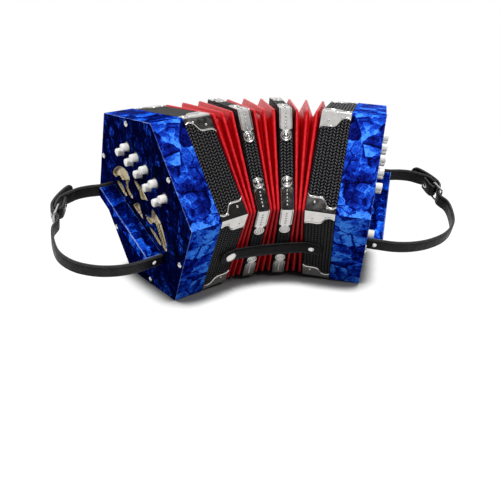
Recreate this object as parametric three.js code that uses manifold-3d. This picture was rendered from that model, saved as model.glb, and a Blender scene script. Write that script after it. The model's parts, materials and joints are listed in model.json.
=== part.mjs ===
// A hexagonal concertina with two buttoned ends, a three-section pleated bellows, leather hand straps
// and a closing strap. It stands fanned open: shut along the front corner and spread at the back.
// Millimetres, +Z up, the player's view from -Y, X from the left end to the right end.

import * as THREE from 'three';
import { mergeVertices } from 'three/addons/utils/BufferGeometryUtils.js';
import Module from 'manifold-3d';

const wasm = await Module();
wasm.setup();

// Driving dimensions of the whole instrument
const ACROSS_FLATS = 160;
const CLEARANCE = 0.3;
const OVERRUN = 2;

// The fan: each of the three bellows sections opens by one step about a line ahead of the front corner
const FAN_STEP = THREE.MathUtils.degToRad(17.2);
const FAN_LEAN = THREE.MathUtils.degToRad(9.2);
const FAN_LINE_AHEAD = 4.3;

// Bellows folds
const FOLD_THICKNESS = 2.5;
const FOLD_RECESS = 1.5;
const FOLD_DEPTH = 18;
const FOLD_CROWN = 0.9;
const CLOTH_WALL = 0.7;

// Frame bands between the sections, and their corner clips
const BAND_WIDTH = 12;
const FRAME_RECESS = 0.6;
const FRAME_LIP = 3.5;
const CLIP_THICKNESS = 0.7;
const CLIP_LENGTH = 20;
const CLIP_ROSE_RADIUS = 5;
const CLIP_SHOULDER = 1.5;
const CLIP_EDGE = 0.4;

// Casings, which hold the reed pans, and their corner protectors
const CASING_DEPTH = 26.7;
const CASING_WALL = 7;
const CASING_FLANGE = 3;
const PROTECTOR_HEIGHT = 17;
const PROTECTOR_THICKNESS = 0.6;
const REED_PAN_THICKNESS = 6;
const REED_SLOT_LENGTH = 24;
const REED_SLOT_WIDTH = 7;
const REED_RING_RADIUS = 42;
const REED_SLOTS = 10;

// End caps with their fretwork plates
const CAP_DEPTH = 29.2;
const CAP_WALL = 4;
const CAP_PLATE = 3;
const CAP_EDGE = 0.6;
const FRET_SPAN = 100;
const GRILLE_THICKNESS = 0.8;
const GRILLE_LENGTH = 114;
const GRILLE_WIDTH = 39;
const GRILLE_CORNER = 4;
const GRILLE_RISE = 5;
const ACTION_BOARD_THICKNESS = 4;
const PAD_HOLE_RADIUS = 4.5;
const PAD_RIM = 8.2;

// Buttons
const BUTTON_RADIUS = 3.5;
const BUTTON_HEIGHT = 6;
const BUTTON_SKIRT = 9;
const BUTTON_DOME = 0.8;
const BUTTON_PIN_RADIUS = 1.2;
const BUTTON_PITCH = 17.2;
const BUTTONS_IN_ROW = 5;
const ROW_ARCH = 2.5;
const UPPER_ROW_HEIGHT = 47.3;
const LOWER_ROW_HEIGHT = 36;
const UPPER_ROW_OFFSET = 3.1;
const LOWER_ROW_OFFSET = -4.9;
const AIR_BUTTON_GAP = 1.5;
const AIR_BUTTON_HEIGHT = 9;

// Hand rests
const REST_LENGTH = 97;
const REST_THICKNESS = 11;
const REST_HEIGHT = 16;
const REST_DROP = 19.5;
const REST_EDGE = 0.8;

// Hand straps and their buckles
const STRAP_WIDTH = 15;
const STRAP_THICKNESS = 2.2;
const STRAP_REACH = 80;
const BUCKLE_BAR = 2;
const BUCKLE_LENGTH = 16;
const BUCKLE_SIDE_GAP = 0.6;
const BUCKLE_CORNER = 2;
const BUCKLE_LIE = THREE.MathUtils.degToRad(37);
const STRAP_FOLD_BACK = 12;
const STRAP_EASE = 1;

// Closing strap with its press stud
const CLOSER_WIDTH = 14.5;
const CLOSER_THICKNESS = 2.2;
const CLOSER_HEIGHT = -2.6;
const CLOSER_TAIL = 11;
const CLOSER_SAG = 2;
const CLOSER_HINGE_INSET = 2;
const SNAP_INSET = 7;
const SNAP_CAP_RADIUS = 5.6;
const SNAP_CAP_HEIGHT = 1.8;
const SNAP_POST_RADIUS = 1.8;
const SNAP_STUD_RADIUS = 3.6;
const SNAP_STUD_HEIGHT = 1.2;

// Facets, and how close two points are taken as one
const MERGE_TOLERANCE = 1e-4;
const FRET_STEPS_PER_POINT = 1.6;
const BUTTON_FACETS = 12;
const HOLE_FACETS = 12;
const SNAP_FACETS = 20;
const ARC_FACETS = 4;
const BEND_STEPS = 3;

// Sizes that follow from the driving dimensions
const APOTHEM = ACROSS_FLATS / 2;
const CORNER_RATIO = 2 / Math.sqrt(3);
const CORNER_RADIUS = APOTHEM * CORNER_RATIO;
const FOLD_TOP = CORNER_RADIUS - FOLD_RECESS;
const FOLD_FOOT = FOLD_TOP - FOLD_DEPTH;
const OPENING_APOTHEM = (FOLD_FOOT - FRAME_LIP) / CORNER_RATIO;
const FRAME_APOTHEM = APOTHEM - FRAME_RECESS;
const SIDES = 6;
const SIXTH_TURN = Math.PI / 3;
const QUARTER_TURN = Math.PI / 2;

// Outlines as shares of the piece that they belong to
// Corner protector: share of the casing's depth from the bellows side, share of its height from the corner
const protectorShares = [
  [0, 1], [0.07, 0.87], [0.24, 0.84], [0.45, 0.84], [0.56, 0.76], [0.65, 0.56], [0.74, 0.38],
  [0.87, 0.34], [1, 0.44],
];

// Fretwork scrolls: shares of the fretwork's span, along the hand rest and away from it
const fretShares = [
  [
    [-0.548, -0.054], [-0.503, 0.048], [-0.431, 0.129], [-0.349, 0.172], [-0.262, 0.178],
    [-0.223, 0.142], [-0.237, 0.058], [-0.206, 0.024], [-0.133, 0.013], [-0.136, -0.026],
    [-0.216, -0.032], [-0.274, 0.004], [-0.292, 0.073], [-0.348, 0.025], [-0.42, 0.021],
    [-0.493, -0.057],
  ],
  [
    [-0.454, -0.08], [-0.395, -0.036], [-0.323, -0.037], [-0.236, -0.075], [-0.26, -0.102],
    [-0.369, -0.107],
  ],
  [
    [-0.147, 0.192], [-0.08, 0.224], [0.022, 0.217], [0.121, 0.184], [0.082, 0.163], [0.007, 0.109],
    [-0.042, 0.151],
  ],
  [
    [-0.102, -0.076], [-0.006, 0.028], [0.021, -0.008], [0.089, -0.078], [-0.001, -0.087],
    [-0.071, -0.089],
  ],
  [
    [0.116, 0.003], [0.185, 0.038], [0.213, 0.054], [0.213, 0.162], [0.28, 0.163], [0.362, 0.15],
    [0.461, 0.063], [0.529, -0.027], [0.531, -0.062], [0.481, -0.075], [0.4, -0.016], [0.303, 0.056],
    [0.264, 0.051], [0.223, -0.017], [0.157, -0.027],
  ],
  [[0.212, -0.068], [0.257, -0.047], [0.351, -0.041], [0.439, -0.072], [0.404, -0.096], [0.32, -0.091]],
];

// Hand strap routes: share of half the hand rest's length along it, share of the strap's reach outwards
const shortRouteShares = [[-1.03, 0.02], [-1.03, 0.17], [-1.07, 0.31], [-1.08, 0.45], [-1.04, 0.56]];
const longRouteShares = [
  [1.03, 0.02], [1.03, 0.17], [1.02, 0.35], [0.95, 0.55], [0.8, 0.75], [0.56, 0.92], [0.28, 1],
  [0, 0.99], [-0.3, 0.93],
];
const tipRouteShares = [[-0.98, 0.74], [-1.14, 0.61], [-1.26, 0.47]];
const buckleShare = [-0.763, 0.75];

// A strap's round end: shares of the quarter turn from its tip to its full width
const roundEndShares = [0.15, 0.4, 0.7, 1];

// The snap cap's dome: shares of its radius and height
const snapDomeShares = [[1, 0], [1, 0.33], [0.8, 0.8], [0.4, 1], [0, 1]];

const colours = {
  pearl: { color: 0x1238c4, roughness: 0.25, metalness: 0 },
  leatherette: { color: 0x17181a, roughness: 0.6, metalness: 0 },
  leather: { color: 0x111111, roughness: 0.55, metalness: 0 },
  cloth: { color: 0xc01020, roughness: 0.5, metalness: 0 },
  button: { color: 0xf2f0ea, roughness: 0.35, metalness: 0 },
  chrome: { color: 0xd8d8da, roughness: 0.2, metalness: 1 },
  gold: { color: 0xc9ab5e, roughness: 0.6, metalness: 0.2 },
  wood: { color: 0xb98a54, roughness: 0.7, metalness: 0 },
};

// Frames: every leaf of the bellows has a frame with X along the instrument, Y away from the player, Z up
const fanAxis = new THREE.Vector3(0, -Math.sin(FAN_LEAN), Math.cos(FAN_LEAN));
const fanLine = new THREE.Vector3(0, -(CORNER_RADIUS + FAN_LINE_AHEAD), 0);

function moved(frame, along) {
  return frame.clone().multiply(new THREE.Matrix4().makeTranslation(along, 0, 0));
}

function fanned(frame, angle) {
  const toLine = new THREE.Matrix4().makeTranslation(fanLine);
  const turn = new THREE.Matrix4().makeRotationAxis(fanAxis, angle);
  return frame.clone().multiply(toLine).multiply(turn).multiply(toLine.clone().invert());
}

// Outwards from the centre of a section's middle fold to the face that the section ends on
function outwardLeaves(middle, side) {
  const turn = -side * FAN_STEP / 6;
  const half = side * FOLD_THICKNESS / 2;
  const valley = fanned(moved(middle, half), turn);
  const fold = moved(fanned(valley, turn), half);
  const face = fanned(moved(fold, half), turn);
  return { middle, valley, fold, face, side };
}

// Outwards from a face to the centre of the next section's middle fold
function inwardLeaves(face, side) {
  const turn = -side * FAN_STEP / 6;
  const half = side * FOLD_THICKNESS / 2;
  const fold = moved(fanned(face, turn), half);
  const valley = fanned(moved(fold, half), turn);
  const middle = moved(fanned(valley, turn), half);
  return { middle, valley, fold, face, side: -side };
}

// Everything on one side of the mid plane
function framesOf(side) {
  const innerHalf = outwardLeaves(new THREE.Matrix4(), side);
  const bandOuter = moved(innerHalf.face, side * BAND_WIDTH);
  const middleHalf = inwardLeaves(bandOuter, side);
  const outerHalf = outwardLeaves(middleHalf.middle, side);
  const plate = moved(outerHalf.face, side * (CASING_DEPTH + CAP_DEPTH));
  return { innerHalf, bandInner: innerHalf.face, bandOuter, middleHalf, outerHalf, plate };
}

const frames = { left: framesOf(-1), right: framesOf(1) };

// Solids
function solidOf(geometry) {
  const bare = geometry.clone();
  bare.deleteAttribute('normal');
  bare.deleteAttribute('uv');
  const merged = mergeVertices(bare, MERGE_TOLERANCE);
  return new wasm.Manifold(new wasm.Mesh({
    numProp: 3,
    vertProperties: Float32Array.from(merged.attributes.position.array),
    triVerts: Uint32Array.from(merged.index.array),
  }));
}

function geometryOf(solid) {
  const mesh = solid.getMesh();
  const geometry = new THREE.BufferGeometry();
  geometry.setAttribute('position', new THREE.BufferAttribute(new Float32Array(mesh.vertProperties), 3));
  geometry.setIndex(new THREE.BufferAttribute(new Uint32Array(mesh.triVerts), 1));
  return geometry;
}

// A geometry moved by a matrix, with its faces turned again where the matrix mirrors it
function placed(geometry, matrix) {
  const bare = geometry.clone().deleteAttribute('normal').deleteAttribute('uv');
  const copy = mergeVertices(bare, MERGE_TOLERANCE);
  copy.applyMatrix4(matrix);
  if (matrix.determinant() < 0) flip(copy);
  return copy;
}

function flip(geometry) {
  const index = geometry.index.array;
  for (let i = 0; i < index.length; i += 3) {
    [index[i], index[i + 1]] = [index[i + 1], index[i]];
  }
}

function signedVolume(geometry) {
  const { position } = geometry.attributes;
  const at = (i) => new THREE.Vector3().fromBufferAttribute(position, geometry.index.array[i]);
  let sum = 0;
  for (let i = 0; i < geometry.index.count; i += 3) sum += at(i).dot(at(i + 1).cross(at(i + 2)));
  return sum / 6;
}

// A closed mesh from rings of points; the last ring joins the first, or both ends are capped. A twisted
// patch is split along its shorter diagonal, so that a wall's inner skin bends just as its outer one does
function meshOfRings(rings, closed) {
  const count = rings[0].length;
  const points = rings.flat();
  const index = [];
  const last = closed ? rings.length : rings.length - 1;
  for (let i = 0; i < last; i += 1) {
    for (let j = 0; j < count; j += 1) {
      const [a, b] = [j, (j + 1) % count].map((k) => i * count + k);
      const [c, d] = [a, b].map((k) => (k + count) % points.length);
      const shorter = points[b].distanceTo(points[c]) - points[a].distanceTo(points[d]);
      if (shorter < -MERGE_TOLERANCE) index.push(a, c, b, b, c, d);
      else index.push(a, c, d, a, d, b);
    }
  }
  if (!closed) {
    const end = (rings.length - 1) * count;
    for (let j = 1; j < count - 1; j += 1) {
      index.push(0, j, j + 1);
      index.push(end, end + j + 1, end + j);
    }
  }
  const geometry = new THREE.BufferGeometry().setFromPoints(points);
  geometry.setIndex(index);
  if (signedVolume(geometry) < 0) flip(geometry);
  return geometry;
}

function hexagon(apothem) {
  const radius = apothem * CORNER_RATIO;
  const shape = new THREE.Shape();
  for (let k = 0; k < SIDES; k += 1) {
    const angle = (k + 0.5) * SIXTH_TURN;
    const [x, y] = [radius * Math.cos(angle), radius * Math.sin(angle)];
    if (k === 0) shape.moveTo(x, y);
    else shape.lineTo(x, y);
  }
  shape.closePath();
  return shape;
}

function roundedRectangle(width, height, corner) {
  const [x, y] = [width / 2, height / 2];
  const shape = new THREE.Shape();
  shape.absarc(x - corner, y - corner, corner, 0, QUARTER_TURN);
  shape.absarc(corner - x, y - corner, corner, QUARTER_TURN, 2 * QUARTER_TURN);
  shape.absarc(corner - x, corner - y, corner, 2 * QUARTER_TURN, 3 * QUARTER_TURN);
  shape.absarc(x - corner, corner - y, corner, 3 * QUARTER_TURN, 4 * QUARTER_TURN);
  return shape;
}

function circle(radius, x = 0, y = 0) {
  const path = new THREE.Path();
  path.absarc(x, y, radius, 0, 4 * QUARTER_TURN);
  return path;
}

// A shape extruded from one height to another
function slab(shape, low, high, facets = ARC_FACETS) {
  const settings = { depth: high - low, bevelEnabled: false, curveSegments: facets };
  return new THREE.ExtrudeGeometry(shape, settings).translate(0, 0, low);
}

// The same, with its top and bottom edges broken
function edgedSlab(shape, low, high, edge, facets = ARC_FACETS) {
  const settings = {
    depth: high - low - 2 * edge,
    bevelThickness: edge,
    bevelSize: edge,
    bevelOffset: -edge,
    bevelSegments: 1,
    curveSegments: facets,
  };
  return new THREE.ExtrudeGeometry(shape, settings).translate(0, 0, low + edge);
}

// A body of revolution about Z from pairs of radius and height
function turned(profile, facets) {
  const points = profile.map(([radius, height]) => new THREE.Vector2(radius, height));
  return new THREE.LatheGeometry(points, facets).rotateX(QUARTER_TURN);
}

// Bellows: half a section from the face it is fixed to, up to the crown of the middle fold
function bellowsHalf(leaves) {
  const { middle, valley, fold, face, side } = leaves;
  const inward = -side;
  const half = FOLD_THICKNESS / 2;
  const hollow = half - CLOTH_WALL;
  const shoulder = FOLD_TOP - FOLD_CROWN;
  const hollowTop = FOLD_TOP - 2 * CLOTH_WALL - FOLD_CROWN / 2;
  const foot = FOLD_FOOT + CLOTH_WALL;
  const under = FOLD_FOOT - CLOTH_WALL * CORNER_RATIO;
  const seat = CLEARANCE;
  const split = CLEARANCE / 2;
  const profile = [
    [face, inward * seat, FOLD_FOOT],
    [fold, -inward * half, shoulder],
    [fold, 0, FOLD_TOP],
    [fold, inward * half, shoulder],
    [valley, 0, FOLD_FOOT],
    [middle, -inward * half, shoulder],
    [middle, -inward * split, FOLD_TOP],
    [middle, -inward * split, hollowTop + CLOTH_WALL / 2],
    [middle, -inward * hollow, hollowTop],
    [valley, inward * CLOTH_WALL, foot],
    [valley, 0, under],
    [valley, -inward * CLOTH_WALL, foot],
    [fold, inward * hollow, hollowTop],
    [fold, -inward * hollow, hollowTop],
    [face, inward * (seat + CLOTH_WALL), foot],
    [face, inward * seat, under],
  ];
  const rings = profile.map(([frame, along, radius]) => {
    const ring = [];
    for (let k = 0; k < SIDES; k += 1) {
      const angle = k * SIXTH_TURN;
      const corner = new THREE.Vector3(along, -radius * Math.cos(angle), radius * Math.sin(angle));
      ring.push(corner.applyMatrix4(frame));
    }
    return ring;
  });
  return meshOfRings(rings, true);
}

// Where a corner's plates lie: X along the instrument, Y along the face from the corner, Z outwards
function cornerPlateMatrices(apothem, low) {
  const matrices = [];
  for (let k = 0; k < SIDES; k += 1) {
    const angle = (k + 0.5) * SIXTH_TURN;
    const radius = apothem * CORNER_RATIO;
    const corner = new THREE.Vector3(radius * Math.cos(angle), radius * Math.sin(angle), low);
    for (const hand of [-1, 1]) {
      const along = angle + hand * 2 * SIXTH_TURN;
      const outward = angle + hand * SIXTH_TURN / 2;
      const matrix = new THREE.Matrix4().makeBasis(
        new THREE.Vector3(0, 0, 1),
        new THREE.Vector3(Math.cos(along), Math.sin(along), 0),
        new THREE.Vector3(Math.cos(outward), Math.sin(outward), 0),
      );
      matrices.push(matrix.setPosition(corner));
    }
  }
  return matrices;
}

// Plates of one outline on both sides of every corner, mitred where they meet
function withCornerPlates(body, outline, thickness, apothem, low, high) {
  const plate = slab(outline, -OVERRUN, thickness);
  let plates = null;
  for (const matrix of cornerPlateMatrices(apothem, low)) {
    const one = solidOf(placed(plate, matrix));
    plates = plates ? plates.add(one) : one;
  }
  const trim = solidOf(slab(hexagon(apothem + thickness), low, high));
  return body.add(plates.intersect(trim));
}

function hexagonalRing(apothem, innerApothem, low, high) {
  const outside = solidOf(slab(hexagon(apothem), low, high));
  return outside.subtract(solidOf(slab(hexagon(innerApothem), low - OVERRUN, high + OVERRUN)));
}

// The clip's outline: a plate as wide as the band, stepped shoulders, and a round rose at its end
function clipOutline() {
  const half = BAND_WIDTH / 2 - CLIP_EDGE;
  const neck = half - CLIP_SHOULDER;
  const roseCentre = CLIP_LENGTH + CLIP_ROSE_RADIUS;
  const shape = new THREE.Shape();
  shape.moveTo(-half, -OVERRUN);
  shape.lineTo(half, -OVERRUN);
  shape.lineTo(half, CLIP_LENGTH - CLIP_SHOULDER);
  shape.lineTo(neck, CLIP_LENGTH);
  const roseStart = -QUARTER_TURN / 2;
  shape.absarc(0, roseCentre, CLIP_ROSE_RADIUS, roseStart, 2 * QUARTER_TURN - roseStart);
  shape.lineTo(-neck, CLIP_LENGTH);
  shape.lineTo(-half, CLIP_LENGTH - CLIP_SHOULDER);
  shape.closePath();
  return shape;
}

function band() {
  const frame = hexagonalRing(FRAME_APOTHEM, OPENING_APOTHEM, 0, BAND_WIDTH);
  const outline = clipOutline();
  const centred = cornerOutlineAt(outline, BAND_WIDTH / 2);
  return geometryOf(withCornerPlates(frame, centred, CLIP_THICKNESS, FRAME_APOTHEM, 0, BAND_WIDTH));
}

function cornerOutlineAt(shape, along) {
  const points = shape.getPoints(ARC_FACETS);
  return new THREE.Shape(points.map((point) => new THREE.Vector2(point.x + along, point.y)));
}

// Ends are drawn on the plate: X along the hand rest, Y away from it, Z outwards from the plate's face.
// The casing's outer rim is a clearance behind the cap, and its bellows side ends on the section's face.
const CASING_LOW = -(CAP_DEPTH + CASING_DEPTH);
const CASING_HIGH = -(CAP_DEPTH + CLEARANCE);

function protectorOutline() {
  const depth = CASING_HIGH - CASING_LOW;
  const points = protectorShares.map(
    ([along, up]) => new THREE.Vector2(along * depth, up * PROTECTOR_HEIGHT),
  );
  const shape = new THREE.Shape();
  shape.moveTo(0, -OVERRUN);
  for (const point of points) shape.lineTo(point.x, point.y);
  shape.lineTo(depth, -OVERRUN);
  shape.closePath();
  return shape;
}

function casing() {
  const floor = CASING_LOW + CASING_FLANGE;
  const shell = solidOf(slab(hexagon(FRAME_APOTHEM), CASING_LOW, CASING_HIGH))
    .subtract(solidOf(slab(hexagon(FRAME_APOTHEM - CASING_WALL), floor, CASING_HIGH + OVERRUN)))
    .subtract(solidOf(slab(hexagon(OPENING_APOTHEM), CASING_LOW - OVERRUN, floor + OVERRUN)));
  const outline = protectorOutline();
  return geometryOf(
    withCornerPlates(shell, outline, PROTECTOR_THICKNESS, FRAME_APOTHEM, CASING_LOW, CASING_HIGH),
  );
}

function reedPan() {
  const shape = hexagon(FRAME_APOTHEM - CASING_WALL - CLEARANCE);
  const slot = roundedRectangle(REED_SLOT_LENGTH, REED_SLOT_WIDTH, REED_SLOT_WIDTH / 4).getPoints(1);
  for (let i = 0; i < REED_SLOTS; i += 1) {
    const angle = (i + 0.5) * 4 * QUARTER_TURN / REED_SLOTS;
    const centre = new THREE.Vector2(REED_RING_RADIUS, 0);
    const outline = slot.map((point) => point.clone().add(centre).rotateAround(new THREE.Vector2(), angle));
    shape.holes.push(new THREE.Path(outline));
  }
  const low = CASING_LOW + CASING_FLANGE + CLEARANCE;
  return slab(shape, low, low + REED_PAN_THICKNESS);
}

// Button places on the plate, row by row; the right end has an air button below the hand rest
function buttonPlaces(withAirButton) {
  const places = [];
  const rows = [[UPPER_ROW_OFFSET, UPPER_ROW_HEIGHT], [LOWER_ROW_OFFSET, LOWER_ROW_HEIGHT]];
  const middle = (BUTTONS_IN_ROW - 1) / 2;
  for (const [offset, height] of rows) {
    for (let i = 0; i < BUTTONS_IN_ROW; i += 1) {
      const fromMiddle = i - middle;
      const drop = ROW_ARCH * (fromMiddle / middle) ** 2;
      places.push(new THREE.Vector2(offset + fromMiddle * BUTTON_PITCH, height - drop));
    }
  }
  const airAlong = GRILLE_LENGTH / 2 + AIR_BUTTON_GAP + BUTTON_RADIUS;
  if (withAirButton) places.push(new THREE.Vector2(airAlong, AIR_BUTTON_HEIGHT));
  return places;
}

function fretShape(shares) {
  const points = shares.map(([x, y]) => new THREE.Vector3(x * FRET_SPAN, y * FRET_SPAN, 0));
  const curve = new THREE.CatmullRomCurve3(points, true, 'centripetal');
  const steps = Math.round(FRET_STEPS_PER_POINT * points.length);
  const outline = curve.getPoints(steps).slice(0, steps);
  return new THREE.Shape(outline.map((point) => new THREE.Vector2(point.x, point.y)));
}

function cap(places) {
  let body = solidOf(edgedSlab(hexagon(APOTHEM), -CAP_DEPTH, 0, CAP_EDGE));
  const cavity = slab(hexagon(APOTHEM - CAP_WALL), -CAP_DEPTH - OVERRUN, -CAP_PLATE);
  body = body.subtract(solidOf(cavity));
  const [low, high] = [-CAP_PLATE - OVERRUN, OVERRUN];
  for (const shares of fretShares) body = body.subtract(solidOf(slab(fretShape(shares), low, high)));
  const hole = new THREE.CylinderGeometry(1, 1, high - low, HOLE_FACETS).rotateX(QUARTER_TURN);
  const radius = BUTTON_RADIUS + CLEARANCE;
  for (const place of places) {
    const cut = hole.clone().scale(radius, radius, 1).translate(place.x, place.y, (low + high) / 2);
    body = body.subtract(solidOf(cut));
  }
  return geometryOf(body);
}

function grille() {
  const shape = roundedRectangle(GRILLE_LENGTH, GRILLE_WIDTH, GRILLE_CORNER);
  const high = -CAP_PLATE - CLEARANCE;
  return slab(shape, high - GRILLE_THICKNESS, high, 2).translate(0, GRILLE_RISE, 0);
}

function actionBoard(places) {
  const apothem = APOTHEM - CAP_WALL - CLEARANCE;
  const ringRadius = apothem - PAD_RIM - PAD_HOLE_RADIUS;
  const shape = hexagon(apothem);
  for (const place of places) shape.holes.push(circle(BUTTON_PIN_RADIUS + CLEARANCE, place.x, place.y));
  const pads = places.length;
  for (let i = 0; i < pads; i += 1) {
    const angle = -2 * QUARTER_TURN * (i + 0.5) / pads;
    const [x, y] = [ringRadius * Math.cos(angle), ringRadius * Math.sin(angle)];
    shape.holes.push(circle(PAD_HOLE_RADIUS, x, y));
  }
  return slab(shape, -CAP_DEPTH, -CAP_DEPTH + ACTION_BOARD_THICKNESS);
}

function button() {
  const pinEnd = -CAP_DEPTH + ACTION_BOARD_THICKNESS / 2;
  return turned([
    [0, pinEnd],
    [BUTTON_PIN_RADIUS, pinEnd],
    [BUTTON_PIN_RADIUS, -BUTTON_SKIRT],
    [BUTTON_RADIUS, -BUTTON_SKIRT],
    [BUTTON_RADIUS, BUTTON_HEIGHT - BUTTON_DOME],
    [BUTTON_RADIUS - BUTTON_DOME, BUTTON_HEIGHT],
    [0, BUTTON_HEIGHT],
  ], BUTTON_FACETS);
}

function handRest() {
  const shape = roundedRectangle(REST_LENGTH, REST_THICKNESS, 2 * REST_EDGE);
  const rest = edgedSlab(shape, CLEARANCE, REST_HEIGHT, REST_EDGE, 2);
  return rest.translate(0, -REST_DROP, 0);
}

// A strap: a flat strip along a curve, with a round end where it is asked for
function strip(curve, acrossAt, width, thickness, from, to, rounded, step) {
  const radius = width / 2;
  const distances = [];
  const roundSteps = roundEndShares.map((share) => share * QUARTER_TURN);
  const startRound = rounded[0] ? radius : 0;
  const endRound = rounded[1] ? radius : 0;
  if (rounded[0]) {
    for (const a of roundSteps) distances.push([from + radius * (1 - Math.cos(a)), radius * Math.sin(a)]);
  } else {
    distances.push([from, radius]);
  }
  const span = to - endRound - (from + startRound);
  const pieces = Math.max(1, Math.round(span / step));
  for (let i = 1; i < pieces; i += 1) distances.push([from + startRound + span * i / pieces, radius]);
  if (rounded[1]) {
    for (const a of roundSteps.slice().reverse()) {
      distances.push([to - radius * (1 - Math.cos(a)), radius * Math.sin(a)]);
    }
  } else {
    distances.push([to, radius]);
  }
  const length = curve.getLength();
  const rings = distances.map(([distance, half]) => {
    const share = THREE.MathUtils.clamp(distance / length, 0, 1);
    const centre = curve.getPointAt(share);
    const tangent = curve.getTangentAt(share);
    const across = acrossAt(share);
    across.addScaledVector(tangent, -across.dot(tangent)).normalize();
    const normal = new THREE.Vector3().crossVectors(tangent, across);
    const corner = (a, b) => centre.clone()
      .addScaledVector(across, a * half)
      .addScaledVector(normal, b * thickness / 2);
    return [corner(1, 1), corner(-1, 1), corner(-1, -1), corner(1, -1)];
  });
  return meshOfRings(rings, false);
}

// Buckle: A is the bar that the short strap folds round, B the bar that the long strap passes under
const buckleAlong = new THREE.Vector3(Math.cos(BUCKLE_LIE), 0, Math.sin(BUCKLE_LIE));
const buckleOut = new THREE.Vector3(-Math.sin(BUCKLE_LIE), 0, Math.cos(BUCKLE_LIE));
const buckleBarA = routePoint(buckleShare);
const buckleBarB = buckleBarA.clone().addScaledVector(buckleAlong, BUCKLE_LENGTH - BUCKLE_BAR);

function nearBuckle(base, along, out) {
  return base.clone().addScaledVector(buckleAlong, along).addScaledVector(buckleOut, out);
}

function routePoint([along, out]) {
  return new THREE.Vector3(along * REST_LENGTH / 2, -REST_DROP, out * STRAP_REACH);
}

// The strap lies on the end faces of the hand rest
function seatedRoute(shares) {
  const points = shares.map(routePoint);
  const seat = REST_LENGTH / 2 + CLEARANCE + STRAP_THICKNESS / 2;
  for (const point of points.slice(0, 2)) point.x = Math.sign(point.x) * seat;
  return points;
}

function straightAcross() {
  return new THREE.Vector3(0, 1, 0);
}

function shortStrap() {
  const bend = BUCKLE_BAR / 2 * Math.SQRT2 + 2 * CLEARANCE + STRAP_THICKNESS / 2;
  const layers = STRAP_THICKNESS + CLEARANCE;
  const back = -STRAP_FOLD_BACK;
  const points = seatedRoute(shortRouteShares);
  points.push(nearBuckle(buckleBarA, back, bend - layers / 2));
  points.push(nearBuckle(buckleBarA, back / 2, bend));
  for (let i = BEND_STEPS; i >= -BEND_STEPS; i -= 1) {
    const a = QUARTER_TURN * i / BEND_STEPS;
    points.push(nearBuckle(buckleBarA, bend * Math.cos(a), bend * Math.sin(a)));
  }
  points.push(nearBuckle(buckleBarA, back / 2, -bend));
  points.push(nearBuckle(buckleBarA, back, -bend + layers / 4));
  const curve = new THREE.CatmullRomCurve3(points, false, 'centripetal');
  const length = curve.getLength();
  return strip(curve, straightAcross, STRAP_WIDTH, STRAP_THICKNESS, 0, length, [false, false], BUCKLE_BAR);
}

function longStrap() {
  const fold = BUCKLE_BAR / 2 * Math.SQRT2 + 2 * CLEARANCE + STRAP_THICKNESS;
  const underB = -(BUCKLE_BAR / 2 * Math.SQRT2 + STRAP_EASE + STRAP_THICKNESS / 2);
  const overA = fold + STRAP_EASE + STRAP_THICKNESS / 2;
  const points = [
    ...seatedRoute(longRouteShares),
    nearBuckle(buckleBarB, 0, underB),
    nearBuckle(buckleBarA, overA * Math.SQRT1_2, overA * Math.SQRT1_2),
    nearBuckle(buckleBarA, 0, overA),
    ...tipRouteShares.map(routePoint),
  ];
  const curve = new THREE.CatmullRomCurve3(points, false, 'centripetal');
  const length = curve.getLength();
  const step = STRAP_WIDTH / 3;
  return strip(curve, straightAcross, STRAP_WIDTH, STRAP_THICKNESS, 0, length, [false, true], step);
}

function buckle() {
  const inside = STRAP_WIDTH + 2 * BUCKLE_SIDE_GAP;
  const outside = inside + 2 * BUCKLE_BAR;
  const frame = roundedRectangle(BUCKLE_LENGTH, outside, BUCKLE_CORNER);
  frame.holes.push(new THREE.Path(
    roundedRectangle(BUCKLE_LENGTH - 2 * BUCKLE_BAR, inside, BUCKLE_CORNER / 4).getPoints(2),
  ));
  const flat = slab(frame, -BUCKLE_BAR / 2, BUCKLE_BAR / 2, 3);
  const centre = buckleBarA.clone().lerp(buckleBarB, 1 / 2);
  const matrix = new THREE.Matrix4().makeBasis(buckleAlong, new THREE.Vector3(0, 1, 0), buckleOut);
  return placed(flat, matrix.setPosition(centre));
}

// Plate axes in a leaf's frame: the hand rest runs 30 degrees below the line towards the player
const restLine = new THREE.Vector3(0, -Math.cos(SIXTH_TURN / 2), -Math.sin(SIXTH_TURN / 2));
const upLine = new THREE.Vector3(0, -Math.sin(SIXTH_TURN / 2), Math.cos(SIXTH_TURN / 2));

function plateMatrix(frame, side) {
  const along = restLine.clone().multiplyScalar(-side);
  return frame.clone().multiply(new THREE.Matrix4().makeBasis(along, upLine, new THREE.Vector3(side, 0, 0)));
}

const mirrorAlong = new THREE.Matrix4().makeScale(-1, 1, 1);

// The end pieces are drawn for the left end; the right end's are their mirror images
function forSide(geometry, side) {
  return side > 0 ? placed(geometry, mirrorAlong) : geometry;
}

function groupAt(matrix) {
  const group = new THREE.Group();
  matrix.decompose(group.position, group.quaternion, group.scale);
  return group;
}

function meshOf(name, geometry, finish) {
  const mesh = new THREE.Mesh(geometry, new THREE.MeshStandardMaterial(colours[finish]));
  mesh.name = name;
  return mesh;
}

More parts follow.
